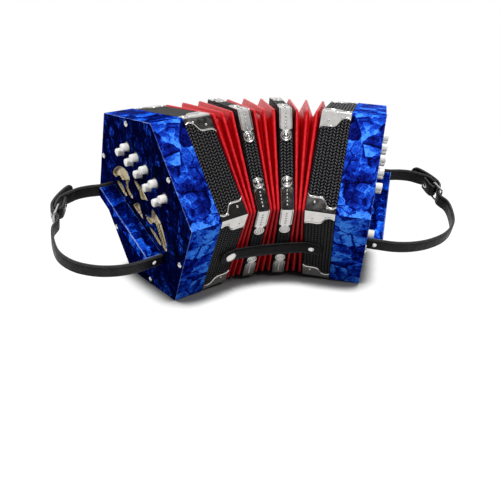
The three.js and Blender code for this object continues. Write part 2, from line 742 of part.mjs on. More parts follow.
function endGroup(name, side) {
  const group = groupAt(plateMatrix(frames[name].plate, side));
  const withAirButton = side > 0;
  const places = buttonPlaces(withAirButton);
  const pieces = [
    ['casing', casing(), 'leatherette'],
    ['reed_pan', reedPan(), 'wood'],
    ['action_board', actionBoard(places), 'wood'],
    ['end_cap', cap(places), 'pearl'],
    ['grille_cloth', grille(), 'gold'],
    ['hand_rest', handRest(), 'pearl'],
    ['hand_strap', longStrap(), 'leather'],
    ['buckle_strap', shortStrap(), 'leather'],
    ['buckle', buckle(), 'chrome'],
  ];
  for (const [piece, geometry, finish] of pieces) {
    group.add(meshOf(`${name}_${piece}`, forSide(geometry, side), finish));
  }
  const oneButton = button();
  places.forEach((place, i) => {
    const isAir = withAirButton && i === places.length - 1;
    const mesh = meshOf(isAir ? 'air_button' : `${name}_button_${i + 1}`, oneButton, 'button');
    mesh.position.set(-side * place.x, place.y, 0);
    group.add(mesh);
  });
  return group;
}

// Closing strap: over the lower front face from the right casing to the press stud on the left one
function closerPoint(name, side, distance, height) {
  const matrix = plateMatrix(frames[name].plate, side);
  const point = new THREE.Vector3(-side * (FRAME_APOTHEM + height), CLOSER_HEIGHT, CASING_LOW + distance);
  return point.applyMatrix4(matrix);
}

function closerParts() {
  const height = SNAP_STUD_HEIGHT + 2 * CLEARANCE + CLOSER_THICKNESS / 2;
  const anchorHeight = CLEARANCE + CLOSER_THICKNESS / 2;
  const tailEnd = SNAP_INSET + CLOSER_TAIL;
  const right = (distance, up) => closerPoint('right', 1, distance, up);
  const left = (distance, up) => closerPoint('left', -1, distance, up);
  const middle = right(0, height).lerp(left(0, height), 1 / 2);
  const sagTo = new THREE.Vector3(0, -restLine.y, -restLine.z);
  middle.addScaledVector(sagTo, CLOSER_SAG);
  const points = [
    right(tailEnd, anchorHeight),
    right(SNAP_INSET, anchorHeight),
    right(CLOSER_HINGE_INSET, anchorHeight),
    middle,
    left(CLOSER_HINGE_INSET, height),
    left(SNAP_INSET, height),
    left(tailEnd, height),
  ];
  const curve = new THREE.CatmullRomCurve3(points, false, 'centripetal');
  const upRight = upLine.clone().transformDirection(frames.right.plate);
  const upLeft = upLine.clone().transformDirection(frames.left.plate);
  const acrossAt = (share) => upRight.clone().lerp(upLeft, share);
  const length = curve.getLength();
  const hinge = right(tailEnd, anchorHeight).distanceTo(right(CLOSER_HINGE_INSET, anchorHeight));
  const cut = CLEARANCE / 2;
  const make = (from, to, rounded) => strip(
    curve, acrossAt, CLOSER_WIDTH, CLOSER_THICKNESS, from, to, rounded, CLOSER_WIDTH / 2,
  );
  const anchor = make(0, hinge - cut, [true, false]);
  const flap = make(hinge + cut, length, [false, true]);
  return { anchor, flap, height };
}

// The press stud's axis on the left casing: Z outwards from the face
function snapMatrix() {
  const plate = plateMatrix(frames.left.plate, -1);
  const turn = new THREE.Matrix4().makeRotationY(QUARTER_TURN);
  const place = new THREE.Matrix4().makeTranslation(FRAME_APOTHEM, CLOSER_HEIGHT, CASING_LOW + SNAP_INSET);
  return plate.multiply(place).multiply(turn);
}

function snapStud() {
  return turned([
    [0, CLEARANCE],
    [SNAP_STUD_RADIUS, CLEARANCE],
    [SNAP_STUD_RADIUS, SNAP_STUD_HEIGHT - CLEARANCE],
    [SNAP_STUD_RADIUS - CLEARANCE, SNAP_STUD_HEIGHT],
    [0, SNAP_STUD_HEIGHT],
  ], SNAP_FACETS);
}

function snapCap(height) {
  const top = height + CLOSER_THICKNESS / 2 + CLEARANCE;
  const dome = snapDomeShares.map(([out, up]) => [out * SNAP_CAP_RADIUS, top + up * SNAP_CAP_HEIGHT]);
  return turned([
    [0, SNAP_STUD_HEIGHT + CLEARANCE],
    [SNAP_POST_RADIUS, SNAP_STUD_HEIGHT + CLEARANCE],
    [SNAP_POST_RADIUS, top],
    ...dome,
  ], SNAP_FACETS);
}

function addCloser(assembly) {
  const { anchor, flap, height } = closerParts();
  const matrix = snapMatrix();
  const hole = new THREE.CylinderGeometry(1, 1, 1, HOLE_FACETS).rotateX(QUARTER_TURN);
  const radius = SNAP_POST_RADIUS + CLEARANCE;
  const reach = 2 * (height + CLOSER_THICKNESS);
  const cutter = placed(hole.scale(radius, radius, reach).translate(0, 0, height), matrix);
  const pierced = geometryOf(solidOf(flap).subtract(solidOf(cutter)));
  assembly.add(meshOf('closing_strap_anchor', anchor, 'leather'));
  assembly.add(meshOf('closing_strap', pierced, 'leather'));
  const group = groupAt(matrix);
  group.add(meshOf('snap_stud', snapStud(), 'chrome'));
  group.add(meshOf('snap_cap', snapCap(height), 'chrome'));
  assembly.add(group);
}

function addBellows(assembly) {
  const halves = {
    left_bellows_outer_half: frames.left.outerHalf,
    left_bellows_inner_half: frames.left.middleHalf,
    middle_bellows_left_half: frames.left.innerHalf,
    middle_bellows_right_half: frames.right.innerHalf,
    right_bellows_inner_half: frames.right.middleHalf,
    right_bellows_outer_half: frames.right.outerHalf,
  };
  for (const [name, leaves] of Object.entries(halves)) {
    assembly.add(meshOf(name, bellowsHalf(leaves), 'cloth'));
  }
}

function addBands(assembly) {
  const geometry = band();
  const places = { left_band: frames.left.bandInner, right_band: frames.right.bandOuter };
  for (const [name, frame] of Object.entries(places)) {
    const group = groupAt(plateMatrix(frame, -1));
    group.add(meshOf(name, geometry, 'leatherette'));
    assembly.add(group);
  }
}

// The fan's lean lifts the inner parts, so the whole is tipped until both outer bottom edges lie level
function tipOf(assembly) {
  const low = FRAME_APOTHEM * Math.sin(SIXTH_TURN) * CORNER_RATIO;
  const front = new THREE.Vector3(0, -CORNER_RADIUS / 2, -low).applyMatrix4(frames.right.plate);
  const back = new THREE.Vector3(0, CORNER_RADIUS / 2, -low).applyMatrix4(frames.right.plate);
  assembly.rotation.x = -Math.atan2(back.z - front.z, back.y - front.y);
}

function concertina() {
  const assembly = new THREE.Group();
  assembly.add(endGroup('left', -1));
  assembly.add(endGroup('right', 1));
  addBands(assembly);
  addBellows(assembly);
  addCloser(assembly);
  tipOf(assembly);
  const whole = new THREE.Group();
  whole.add(assembly);
  whole.updateMatrixWorld(true);
  const box = new THREE.Box3().setFromObject(assembly, true);
  const centre = box.getCenter(new THREE.Vector3());
  assembly.position.set(-centre.x, -centre.y, -box.min.z);
  return whole;
}

export default concertina();
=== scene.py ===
# Looks of the hexagonal concertina: bellows cloth, leather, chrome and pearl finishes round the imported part.
# Sizes are millimetres in the part's own frame, and MM turns them into metres.

import json
import math

import bmesh
import bpy
from mathutils import Matrix, Vector
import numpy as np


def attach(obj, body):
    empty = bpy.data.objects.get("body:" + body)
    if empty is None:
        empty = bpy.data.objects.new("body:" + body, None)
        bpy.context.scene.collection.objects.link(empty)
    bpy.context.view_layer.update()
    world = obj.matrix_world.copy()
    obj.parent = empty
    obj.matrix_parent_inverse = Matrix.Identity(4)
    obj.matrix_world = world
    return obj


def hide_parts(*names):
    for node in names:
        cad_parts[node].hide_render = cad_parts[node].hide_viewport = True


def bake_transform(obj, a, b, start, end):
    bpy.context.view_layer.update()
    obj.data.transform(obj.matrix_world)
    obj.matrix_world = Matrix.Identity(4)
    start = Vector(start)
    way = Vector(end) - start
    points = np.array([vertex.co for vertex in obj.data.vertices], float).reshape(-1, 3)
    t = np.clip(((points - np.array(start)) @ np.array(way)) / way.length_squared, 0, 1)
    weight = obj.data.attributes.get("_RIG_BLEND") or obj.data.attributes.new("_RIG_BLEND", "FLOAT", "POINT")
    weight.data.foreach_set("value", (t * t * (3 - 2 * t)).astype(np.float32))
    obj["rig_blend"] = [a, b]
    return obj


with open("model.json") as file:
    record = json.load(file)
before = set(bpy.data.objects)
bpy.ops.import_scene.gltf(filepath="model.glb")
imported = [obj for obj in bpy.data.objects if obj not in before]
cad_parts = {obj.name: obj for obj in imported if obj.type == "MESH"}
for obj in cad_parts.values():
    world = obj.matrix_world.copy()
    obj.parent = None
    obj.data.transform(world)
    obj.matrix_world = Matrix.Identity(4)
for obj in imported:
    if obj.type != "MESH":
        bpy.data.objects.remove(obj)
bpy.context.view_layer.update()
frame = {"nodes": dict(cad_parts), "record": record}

MM = 0.001

# Driving dimensions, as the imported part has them
ACROSS_FLATS = 160
CLEARANCE = 0.3
FAN_STEP = math.radians(17.2)
FAN_LEAN = math.radians(9.2)
FAN_LINE_AHEAD = 4.3
FOLD_THICKNESS = 2.5
FOLD_RECESS = 1.5
FOLD_DEPTH = 18
BAND_WIDTH = 12
FRAME_RECESS = 0.6
FRAME_LIP = 3.5
CASING_DEPTH = 26.7
CASING_WALL = 7
CASING_FLANGE = 3
CAP_DEPTH = 29.2
CAP_WALL = 4
CAP_PLATE = 3
PROTECTOR_HEIGHT = 17
CLIP_LENGTH = 20
CLIP_ROSE_RADIUS = 5
FRET_SPAN = 100
GRILLE_THICKNESS = 0.8
GRILLE_LENGTH = 114
GRILLE_WIDTH = 39
GRILLE_RISE = 5
BUTTON_RADIUS = 3.5
BUTTON_HEIGHT = 6
REST_LENGTH = 97
REST_THICKNESS = 11
REST_HEIGHT = 16
REST_DROP = 19.5
STRAP_WIDTH = 15
STRAP_THICKNESS = 2.2
STRAP_REACH = 80
STRAP_EASE = 1
STRAP_FOLD_BACK = 12
BUCKLE_BAR = 2
BUCKLE_LENGTH = 16
BUCKLE_SIDE_GAP = 0.6
BUCKLE_CORNER = 2
BUCKLE_LIE = math.radians(37)
CLOSER_WIDTH = 14.5
CLOSER_THICKNESS = 2.2
CLOSER_HEIGHT = -2.6
CLOSER_TAIL = 11
CLOSER_SAG = 2
CLOSER_HINGE_INSET = 2
SNAP_INSET = 7
SNAP_CAP_RADIUS = 5.6
SNAP_STUD_HEIGHT = 1.2

# Small sizes that only the looks have
ARRIS = 0.5
HEX_CORNER = 0.9
FRET_EDGE = 0.35
FRAME_EDGE = 0.4
BUTTON_STEM = 7
FELT_RADIUS = 4.7
FELT_HEIGHT = 0.25
FELT_GAP = 0.15
BOLT_RADIUS = 2.6
BOLT_HEIGHT = 1.5
BOLT_CIRCLE = 74.8
CROWN_CORNER = 3.5
VALLEY_CORNER = 1.2
CROWN_OPENING = 6
CLOTH_WALL = 0.6
PLATE_FACE = 0.2
PLATE_SUNK = 0.15
PLATE_RIM = 0.75
PLATE_RIM_WIDTH = 1.9
PLATE_BEND = 1.0
PIN_RADIUS = 1.15
PIN_HEIGHT = 0.75
CLIP_MARGIN = 0.4
CLIP_SHOULDER = 1.8
CLIP_NECK = 2.6
DOT_RADIUS = 0.9
DOT_HEIGHT = 0.85
DOT_START = 4.6
DOT_PITCH = 3.1
STITCH_INSET = 2.3
GROOVE_DEPTH = 0.32
PRONG_RADIUS = 0.7
GRILLE_CORNER = 4
GRILLE_EDGE = 0.2
REST_CORNER = 1.2
REST_EDGE = 0.9
RIVET_SHARE = 0.62

# Screw heads as radius, height and the slot's turn; rivets as radius, height, facets, steps and foot
STRAP_SCREW = (3.0, 1.3, 0.9)
CLOSER_SCREW = (3.1, 1.4, 0.5)
INNER_RIVET = (2.6, 1.1, 24, 5, 0.3)
OUTER_RIVET = (1.8, 0.9, 20, 4, 0.4)

# Distances that keep the patterns of neighbouring panels apart
PANEL_SPREAD = 211
CLIP_SPREAD = 70
PROTECTOR_SPREAD = 40

APOTHEM = ACROSS_FLATS / 2
CORNER_RATIO = 2 / math.sqrt(3)
CORNER_RADIUS = APOTHEM * CORNER_RATIO
FOLD_TOP = CORNER_RADIUS - FOLD_RECESS
FOLD_FOOT = FOLD_TOP - FOLD_DEPTH
OPENING_APOTHEM = (FOLD_FOOT - FRAME_LIP) / CORNER_RATIO
FRAME_APOTHEM = APOTHEM - FRAME_RECESS
CASING_LOW = -(CAP_DEPTH + CASING_DEPTH)
CASING_HIGH = -(CAP_DEPTH + CLEARANCE)
ROSE_PLACE = CLIP_LENGTH + CLIP_ROSE_RADIUS
SIDES = 6
SIXTH = math.pi / 3
QUARTER = math.pi / 2
HALF_BEND = PLATE_BEND * SIXTH / 2

# Outlines as shares of the piece that they belong to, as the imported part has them
protector_shares = [
    (0, 1), (0.07, 0.87), (0.24, 0.84), (0.45, 0.84), (0.56, 0.76), (0.65, 0.56), (0.74, 0.38),
    (0.87, 0.34), (1, 0.44),
]
fret_shares = [
    [
        (-0.548, -0.054), (-0.503, 0.048), (-0.431, 0.129), (-0.349, 0.172), (-0.262, 0.178),
        (-0.223, 0.142), (-0.237, 0.058), (-0.206, 0.024), (-0.133, 0.013), (-0.136, -0.026),
        (-0.216, -0.032), (-0.274, 0.004), (-0.292, 0.073), (-0.348, 0.025), (-0.42, 0.021),
        (-0.493, -0.057),
    ],
    [
        (-0.454, -0.08), (-0.395, -0.036), (-0.323, -0.037), (-0.236, -0.075), (-0.26, -0.102),
        (-0.369, -0.107),
    ],
    [
        (-0.147, 0.192), (-0.08, 0.224), (0.022, 0.217), (0.121, 0.184), (0.082, 0.163),
        (0.007, 0.109), (-0.042, 0.151),
    ],
    [(-0.102, -0.076), (-0.006, 0.028), (0.021, -0.008), (0.089, -0.078), (-0.001, -0.087), (-0.071, -0.089)],
    [
        (0.116, 0.003), (0.185, 0.038), (0.213, 0.054), (0.213, 0.162), (0.28, 0.163), (0.362, 0.15),
        (0.461, 0.063), (0.529, -0.027), (0.531, -0.062), (0.481, -0.075), (0.4, -0.016),
        (0.303, 0.056), (0.264, 0.051), (0.223, -0.017), (0.157, -0.027),
    ],
    [(0.212, -0.068), (0.257, -0.047), (0.351, -0.041), (0.439, -0.072), (0.404, -0.096), (0.32, -0.091)],
]
short_route_shares = [(-1.03, 0.02), (-1.03, 0.17), (-1.07, 0.31), (-1.08, 0.45), (-1.04, 0.56)]
long_route_shares = [
    (1.03, 0.02), (1.03, 0.17), (1.02, 0.35), (0.95, 0.55), (0.8, 0.75), (0.56, 0.92), (0.28, 1),
    (0, 0.99), (-0.3, 0.93),
]
tip_route_shares = [(-0.98, 0.74), (-1.14, 0.61), (-1.26, 0.47)]
buckle_share = (-0.763, 0.75)
round_end_shares = (0.15, 0.3, 0.45, 0.6, 0.75, 0.9, 1)
pin_shares = ((0.27, 0.52), (0.7, 0.3))


# Points and matrices
def polar(radius, angle, height=0.0):
    return Vector((radius * math.cos(angle), radius * math.sin(angle), height))


def circle(radius, height=0.0, facets=28):
    return [polar(radius, math.tau * i / facets, height) for i in range(facets)]


def arc(centre, radius, start, sweep, steps):
    return [centre + polar(radius, start + sweep * i / steps) for i in range(steps + 1)]


def mean(points):
    return sum(points, Vector((0, 0, 0))) / len(points)


def axes_matrix(x, y, z):
    return Matrix((x, y, z)).transposed().to_4x4()


def frame_at(place, out, along):
    """A matrix at a place with Z outwards and X near the along direction"""
    out = out.normalized()
    x = (along - along.dot(out) * out).normalized()
    return Matrix.Translation(place) @ axes_matrix(x, out.cross(x), out)


# Leaf frames: X along the instrument, Y away from the player, Z up
FAN_AXIS = Vector((0, -math.sin(FAN_LEAN), math.cos(FAN_LEAN)))
FAN_LINE = Vector((0, -(CORNER_RADIUS + FAN_LINE_AHEAD), 0))
ALONG = Vector((0, -math.cos(SIXTH / 2), -math.sin(SIXTH / 2)))
UP = Vector((0, -math.sin(SIXTH / 2), math.cos(SIXTH / 2)))
LEAF_ORDER = ("middle", "valley", "fold", "face")
SIDE = {"left": -1, "right": 1}


def moved(leaf, along):
    return leaf @ Matrix.Translation((along, 0, 0))


def fanned(leaf, angle):
    to_line = Matrix.Translation(FAN_LINE)
    return leaf @ to_line @ Matrix.Rotation(angle, 4, FAN_AXIS) @ to_line.inverted()


def half_leaves(leaf, side, names):
    """The leaves of half a section, each half a fold and a sixth of the fan's step from the last"""
    turn = -side * FAN_STEP / 6
    half = side * FOLD_THICKNESS / 2
    shift_first = names[0] == "middle"
    leaves = {names[0]: leaf, "side": side if shift_first else -side}
    for name in names[1:]:
        leaf = fanned(moved(leaf, half), turn) if shift_first else moved(fanned(leaf, turn), half)
        shift_first = not shift_first
        leaves[name] = leaf
    return leaves


def leaf_frames(side):
    inner = half_leaves(Matrix.Identity(4), side, LEAF_ORDER)
    band_outer = moved(inner["face"], side * BAND_WIDTH)
    between = half_leaves(band_outer, side, LEAF_ORDER[::-1])
    outer = half_leaves(between["middle"], side, LEAF_ORDER)
    plate = moved(outer["face"], side * (CASING_DEPTH + CAP_DEPTH))
    band = inner["face"] if side < 0 else band_outer
    return {"inner": inner, "between": between, "outer": outer, "band": band, "plate": plate}


def plate_axes(leaf, side):
    """X along the hand rest, Y up from it, Z outwards; a mirror image on the right"""
    return leaf @ axes_matrix(ALONG, UP, Vector((side, 0, 0)))


LEAVES = {end: leaf_frames(side) for end, side in SIDE.items()}
PLATE = {end: plate_axes(LEAVES[end]["plate"], side) for end, side in SIDE.items()}


def assembly_matrix():
    """Tips the whole until both bottom edges lie level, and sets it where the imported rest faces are"""
    plate = LEAVES["right"]["plate"]
    front = plate @ Vector((0, -CORNER_RADIUS / 2, -FRAME_APOTHEM))
    back = plate @ Vector((0, CORNER_RADIUS / 2, -FRAME_APOTHEM))
    tip = Matrix.Rotation(-math.atan2(back.z - front.z, back.y - front.y), 4, "X")
    mount = next(m for m in frame["record"]["mounts"] if m["name"] == "right_rest_face")
    down = math.sin(SIXTH / 2) * ALONG - math.cos(SIXTH / 2) * UP
    seat = plate @ (APOTHEM * down - Vector((CAP_DEPTH / 2, 0, 0)))
    place = Vector(mount["pos_m"]) / MM - tip @ seat
    return Matrix.Translation((0, place.y, place.z)) @ tip


ASSEMBLY = assembly_matrix()
TO_ROW = Matrix.Scale(MM, 4) @ ASSEMBLY


# Camera at the photograph's viewing angle, in the middle leaf's frame
PHOTO_SIZE = 500
PHOTO_FOCAL = 519.94
SENSOR_WIDTH = 36
CAMERA_PLACE = Vector((-108.17, -504.80, 136.49))
CAMERA_LOOK = Vector((0.1887, 0.9068, -0.3769))
CAMERA_UP = Vector((0.0763, 0.3691, 0.9263))


def placed(name, data):
    """A new object in the scene"""
    made = bpy.data.objects.new(name, data)
    bpy.context.scene.collection.objects.link(made)
    return made


def make_camera():
    data = bpy.data.cameras.new("camera")
    data.sensor_width = SENSOR_WIDTH
    data.lens = SENSOR_WIDTH * PHOTO_FOCAL / PHOTO_SIZE
    data.clip_start = 0.01
    turn = ASSEMBLY.to_3x3()
    back = -(turn @ CAMERA_LOOK).normalized()
    right = (turn @ CAMERA_UP).cross(back).normalized()
    basis = axes_matrix(right, back.cross(right), back)
    camera = placed("camera", data)
    camera.matrix_world = Matrix.Translation(TO_ROW @ CAMERA_PLACE) @ basis
    bpy.context.scene.camera = camera


make_camera()


# Finishes
class Value:
    """A node's output, open to plain arithmetic"""

    def __init__(self, tree, socket):
        self.tree = tree
        self.socket = socket

    def __add__(self, other):
        return self.tree.math("ADD", self, other)

    def __sub__(self, other):
        return self.tree.math("SUBTRACT", self, other)

    def __rsub__(self, other):
        return self.tree.math("SUBTRACT", other, self)

    def __mul__(self, other):
        return self.tree.math("MULTIPLY", self, other)

    def __truediv__(self, other):
        return self.tree.math("DIVIDE", self, other)

    def __abs__(self):
        return self.tree.math("ABSOLUTE", self)

    def over(self, other):
        """The larger of two"""
        return self.tree.math("MAXIMUM", self, other)

    def span(self, low, high, to_low=0.0, to_high=1.0, kind="LINEAR"):
        """Low to high mapped to another range, and held at its ends"""
        inputs = {"Value": self, "From Min": low, "From Max": high, "To Min": to_low, "To Max": to_high}
        return self.tree.value("MapRange", inputs, interpolation_type=kind)

    def smooth(self, *ends):
        return self.span(*ends, kind="SMOOTHSTEP")

    def groove(self, middle, half):
        """1 where the value is at the middle, and 0 from half its width on"""
        return abs(self - middle).span(0.5 * half, half, 1.0, 0.0)


class Tree:
    """The shader nodes of a material or of the world"""

    def __init__(self, tree):
        self.nodes = tree.nodes
        self.links = tree.links

    def feed(self, socket, value):
        if isinstance(value, (Value, bpy.types.Node)):
            value = value.socket if isinstance(value, Value) else value.outputs[0]
        if isinstance(value, bpy.types.NodeSocket):
            self.links.new(value, socket)
        else:
            socket.default_value = value

    def node(self, kind, inputs=None, **settings):
        made = self.nodes.new("ShaderNode" + kind)
        for key, value in settings.items():
            setattr(made, key, value)
        for key, value in (inputs or {}).items():
            self.feed(made.inputs[key], value)
        return made

    def value(self, kind, inputs=None, output=0, **settings):
        return Value(self, self.node(kind, inputs, **settings).outputs[output])

    def math(self, operation, *values, clamp=False):
        return self.value("Math", dict(enumerate(values)), operation=operation, use_clamp=clamp)

    def vector(self, operation, *values):
        return self.value("VectorMath", dict(enumerate(values)), operation=operation)

    def split(self, vector, kind="XYZ"):
        return [Value(self, socket) for socket in self.node("Separate" + kind, {0: vector}).outputs]

    def seen(self):
        """1 for what the camera sees, also by way of metal and glass"""
        ray = self.node("LightPath").outputs
        mirrored = self.math("MAXIMUM", ray["Is Glossy Ray"], ray["Is Transmission Ray"])
        return mirrored.over(ray["Is Camera Ray"])


class Finish(Tree):
    """A material whose pattern lies on each panel's own flat coordinates, in millimetres"""

    def __init__(self, name, **sockets):
        self.material = bpy.data.materials.new(name)
        self.material.use_nodes = True
        super().__init__(self.material.node_tree)
        self.shader = self.nodes["Principled BSDF"]
        for socket, value in sockets.items():
            self.shader.inputs[socket.replace("_", " ")].default_value = value

    def panel(self):
        return self.value("UVMap", uv_map="panels")

    def place(self):
        """Object coordinates in millimetres, for parts without panels"""
        inputs = {0: self.value("TexCoord", output="Object"), "Scale": 1 / MM}
        return self.value("VectorMath", inputs, operation="SCALE")

    def noise(self, vector, size, detail=2.0, roughness=0.5, distortion=0.0, output=0):
        inputs = {
            "Vector": vector, "Scale": 1 / size, "Detail": detail, "Roughness": roughness,
            "Distortion": distortion,
        }
        return self.value("TexNoise", inputs, output)

    def cells(self, vector, size, feature="F1"):
        return self.value("TexVoronoi", {"Vector": vector, "Scale": 1 / size}, "Distance", feature=feature)

    def creases(self, vector, size, width, depth):
        """The borders between cells, as dark or light lines of a width"""
        return self.cells(vector, size, "DISTANCE_TO_EDGE").span(0.0, width, depth, 0.0)

    def spun(self, vector, angle):
        return self.value("VectorRotate", {"Vector": vector, "Angle": angle}, rotation_type="Z_AXIS")

    def shards(self, vector, size, spread, slope):
        """Angular patches, each with its own shade and a slope across it, and the angle it lies at"""
        cells = self.node("TexVoronoi", {"Vector": vector, "Scale": 1 / size})
        shades = self.split(cells.outputs["Color"], "Color")
        angle = shades[0] * math.tau
        across = self.split(self.spun(self.vector("SUBTRACT", vector, cells.outputs["Position"]), angle))[0]
        return shades[1] * spread + across.span(-size / 2, size / 2, -slope, slope), angle

    def ramp(self, factor, stops):
        made = self.node("ValToRGB", {"Fac": factor})
        elements = made.color_ramp.elements
        while len(elements) < len(stops):
            elements.new(1)
        for element, (position, colour) in zip(elements, stops):
            element.position = position
            element.color = (*colour, 1)
        return made

    def mix(self, factor, a, b):
        a, b = ((*colour, 1) if isinstance(colour, tuple) else colour for colour in (a, b))
        return self.value("Mix", {0: factor, 6: a, 7: b}, 2, data_type="RGBA")

    def colour(self, value):
        self.feed(self.shader.inputs["Base Color"], value)

    def roughness(self, value):
        self.feed(self.shader.inputs["Roughness"], value)

    def bump(self, height, depth, strength=1.0):
        """depth is the height's span in millimetres"""
        inputs = {"Height": height, "Distance": depth * MM, "Strength": strength}
        self.feed(self.shader.inputs["Normal"], self.node("Bump", inputs))


def scaled(colour, factor):
    return tuple(factor * c for c in colour)


def pearl(name, stops, darkness=0.33, shard_weight=1.0, **streak):
    """Crumpled pearl laminate: angular shards that each shine one way, streaked inside and creased"""
    streak = {"size": 2.4, "length": 3.0, "weight": 0.40, "turn": 1.0, "lean": 0.0, **streak}
    finish = Finish(name, Metallic=0.12, Specular_IOR_Level=0.0, Specular_Tint=(0.10, 0.22, 1.0, 1.0))
    panel = finish.panel()
    bend = finish.vector("SUBTRACT", finish.noise(panel, 24, 2, output="Color"), (0.5, 0.5, 0.5))
    slow = finish.vector("MULTIPLY_ADD", bend, (9, 9, 0), panel)
    quick = finish.vector("MULTIPLY_ADD", bend, (-7, 10, 0), panel)
    long_way = finish.vector("MULTIPLY", slow, (1, 0.75, 1))
    large, angle = finish.shards(long_way, 16, 0.54 * shard_weight, 0.22 * shard_weight)
    small, _ = finish.shards(quick, 8, 0.22 * shard_weight, 0.12 * shard_weight)
    fine, _ = finish.shards(slow, 3.2, 0.08, 0.04)
    lying = finish.spun(slow, angle * streak["turn"] + streak["lean"])
    stretched = finish.vector("MULTIPLY", lying, (1, 1 / streak["length"], 1))
    streaks = finish.noise(stretched, streak["size"], 3, 0.6, 0.4)
    clouds = finish.noise(panel, 32, 1)
    shine = large + small + fine + streaks * streak["weight"] + clouds * 0.45 - darkness

    present = finish.noise(panel, 9, 1)
    ripples = finish.noise(quick, 6, 3, 0.55, 1.6)
    dark_folds = finish.creases(long_way, 16, 0.05, 1.0) * present.span(0.44, 0.50)
    dark_ridges = finish.creases(quick, 8, 0.08, 0.8) * present.span(0.54, 0.60)
    dark_ripples = abs(ripples - 0.44).span(0.0, 0.022, 0.5, 0.0)
    light_ridges = finish.creases(quick, 8, 0.08, 0.3) * present.span(0.46, 0.40)
    light_crinkles = finish.creases(slow, 3.6, 0.10, 0.26) * finish.noise(panel, 13, 1).span(0.47, 0.56)
    light_ripples = abs(ripples - 0.57).span(0.0, 0.018, 0.22, 0.0)
    lit = shine + light_ripples + light_crinkles + light_ridges
    darkest = dark_folds.over(dark_ridges).over(dark_ripples)
    shine = finish.math("MULTIPLY", lit, 1.0 - darkest, clamp=True)
    finish.colour(finish.ramp(shine, stops))
    finish.roughness(streaks.span(0.3, 0.7, 0.16, 0.3))
    finish.bump(shine, 0.05, 0.25)
    return finish.material


def leatherette(name, column_width=2.9, stroke_pitch=2.8, lean=0.9):
    """Embossed covering: columns of raised slanting strokes that lean to and fro, like braid; the strokes'
    tops are painted pale as painted highlights and the grooves near black as painted shade
    """
    finish = Finish(name, Specular_IOR_Level=0.09)
    panel = finish.panel()
    up, across, _ = finish.split(panel)
    across = across / column_width
    x = finish.math("FRACT", across) - 0.5
    hand = finish.math("PINGPONG", finish.math("FLOOR", across), 1.0) * 2.0 - 1.0
    y = finish.math("FRACT", up / stroke_pitch + x * hand * lean) - 0.5
    stroke = (0.5 - abs(x)).span(0.04, 0.22) * (0.5 - abs(y)).span(0.10, 0.34)
    # The colour ramp paints highlights on the raised strokes and shade in the grooves between them.
    finish.colour(finish.ramp(stroke, [
        (0.05, (0.0012, 0.0012, 0.0014)), (0.4, (0.006, 0.006, 0.007)), (1.0, (0.074, 0.075, 0.078)),
    ]))
    finish.roughness(stroke.span(0.0, 1.0, 1.0, 0.33))
    finish.bump(finish.noise(panel, 0.5, 2) * 0.1 + stroke, 0.8, 1.0)
    return finish.material


def leather(name, base, scuff_and_sheen, gloss):
    """Black leather with scuffs, pores and creases across, and a pressed line inside each edge painted near
    black as painted shade; the edges and a line beside the pressed line are painted paler as painted
    highlights
    """
    finish = Finish(name, Specular_IOR_Level=gloss)
    panel = finish.panel()
    face_and_back = 1.5 * STRAP_WIDTH
    from_middle = abs(finish.math("WRAP", finish.split(panel)[1], face_and_back, -face_and_back))
    line = abs(from_middle - 5.1).span(0.2, 0.6, 1.0, 0.0)
    creases = finish.noise(finish.vector("MULTIPLY", panel, (1, 0.25, 1)), 2.2, 3, 0.6, 0.8)
    face = finish.mix(finish.noise(panel, 7, 4).span(0.45, 0.75), base, scuff_and_sheen)
    # Painted highlights: paler edges, and a pale line beside the pressed line.
    face = finish.mix(from_middle.span(6.3, 6.8), face, scaled(scuff_and_sheen, 3.2))
    face = finish.mix(from_middle.groove(5.85, 0.35), face, scaled(scuff_and_sheen, 6))
    # Painted shade: the pressed line near black.
    finish.colour(finish.mix(line, face, (0.001, 0.001, 0.001)))
    finish.roughness(creases.span(0.35, 0.65, 0.28, 0.5))
    finish.bump(creases * 5.0 + finish.cells(panel, 0.7) - line * 3.0, 0.09, 0.8)
    return finish.material


def bellows_cloth(name):
    """Red cloth over card: brightest down in the valleys as painted light against their shade, darker on the
    crowns' sides, and a lighter pink along each crown's middle as a painted highlight
    """
    finish = Finish(name, Specular_IOR_Level=0.16)
    height = finish.value("Attribute", output="Fac", attribute_name="height")
    panel = finish.panel()
    mottle = finish.noise(panel, 3, 4)
    threads = finish.value("TexWave", {"Vector": panel, "Scale": 1.6, "Distortion": 1.5}, "Fac")
    # The fold height picks the colour: painted light in the valleys, a painted highlight along the crowns.
    finish.colour(finish.ramp((mottle - 0.5) * 0.25 + height, [
        (0.02, (0.66, 0.002, 0.004)), (0.40, (0.62, 0.002, 0.006)), (0.93, (0.46, 0.003, 0.008)),
        (1.0, (0.62, 0.020, 0.028)),
    ]))
    finish.roughness(mottle.span(0.3, 0.7, 0.24, 0.4))
    finish.bump(mottle * 2.0 + threads, 0.06, 0.6)
    return finish.material


def chrome(name, colour=(0.61, 0.595, 0.575), roughness=0.08, recess_shade=None):
    """Bright metal with smears and small dents"""
    finish = Finish(name, Metallic=1.0)
    panel = finish.panel()
    smears = finish.noise(panel, 6, 3)
    shade = finish.mix(smears.span(0.3, 0.8), colour, scaled(colour, 0.86))
    # Optional painted shade in the recesses.
    finish.colour(finish.mix(recess_shade(finish), shade, (0.03, 0.03, 0.03)) if recess_shade else shade)
    finish.roughness(smears.span(0.35, 0.75, roughness, roughness + 0.12))
    finish.bump(finish.noise(panel, 2.2, 2), 0.05, 0.15)
    return finish.material


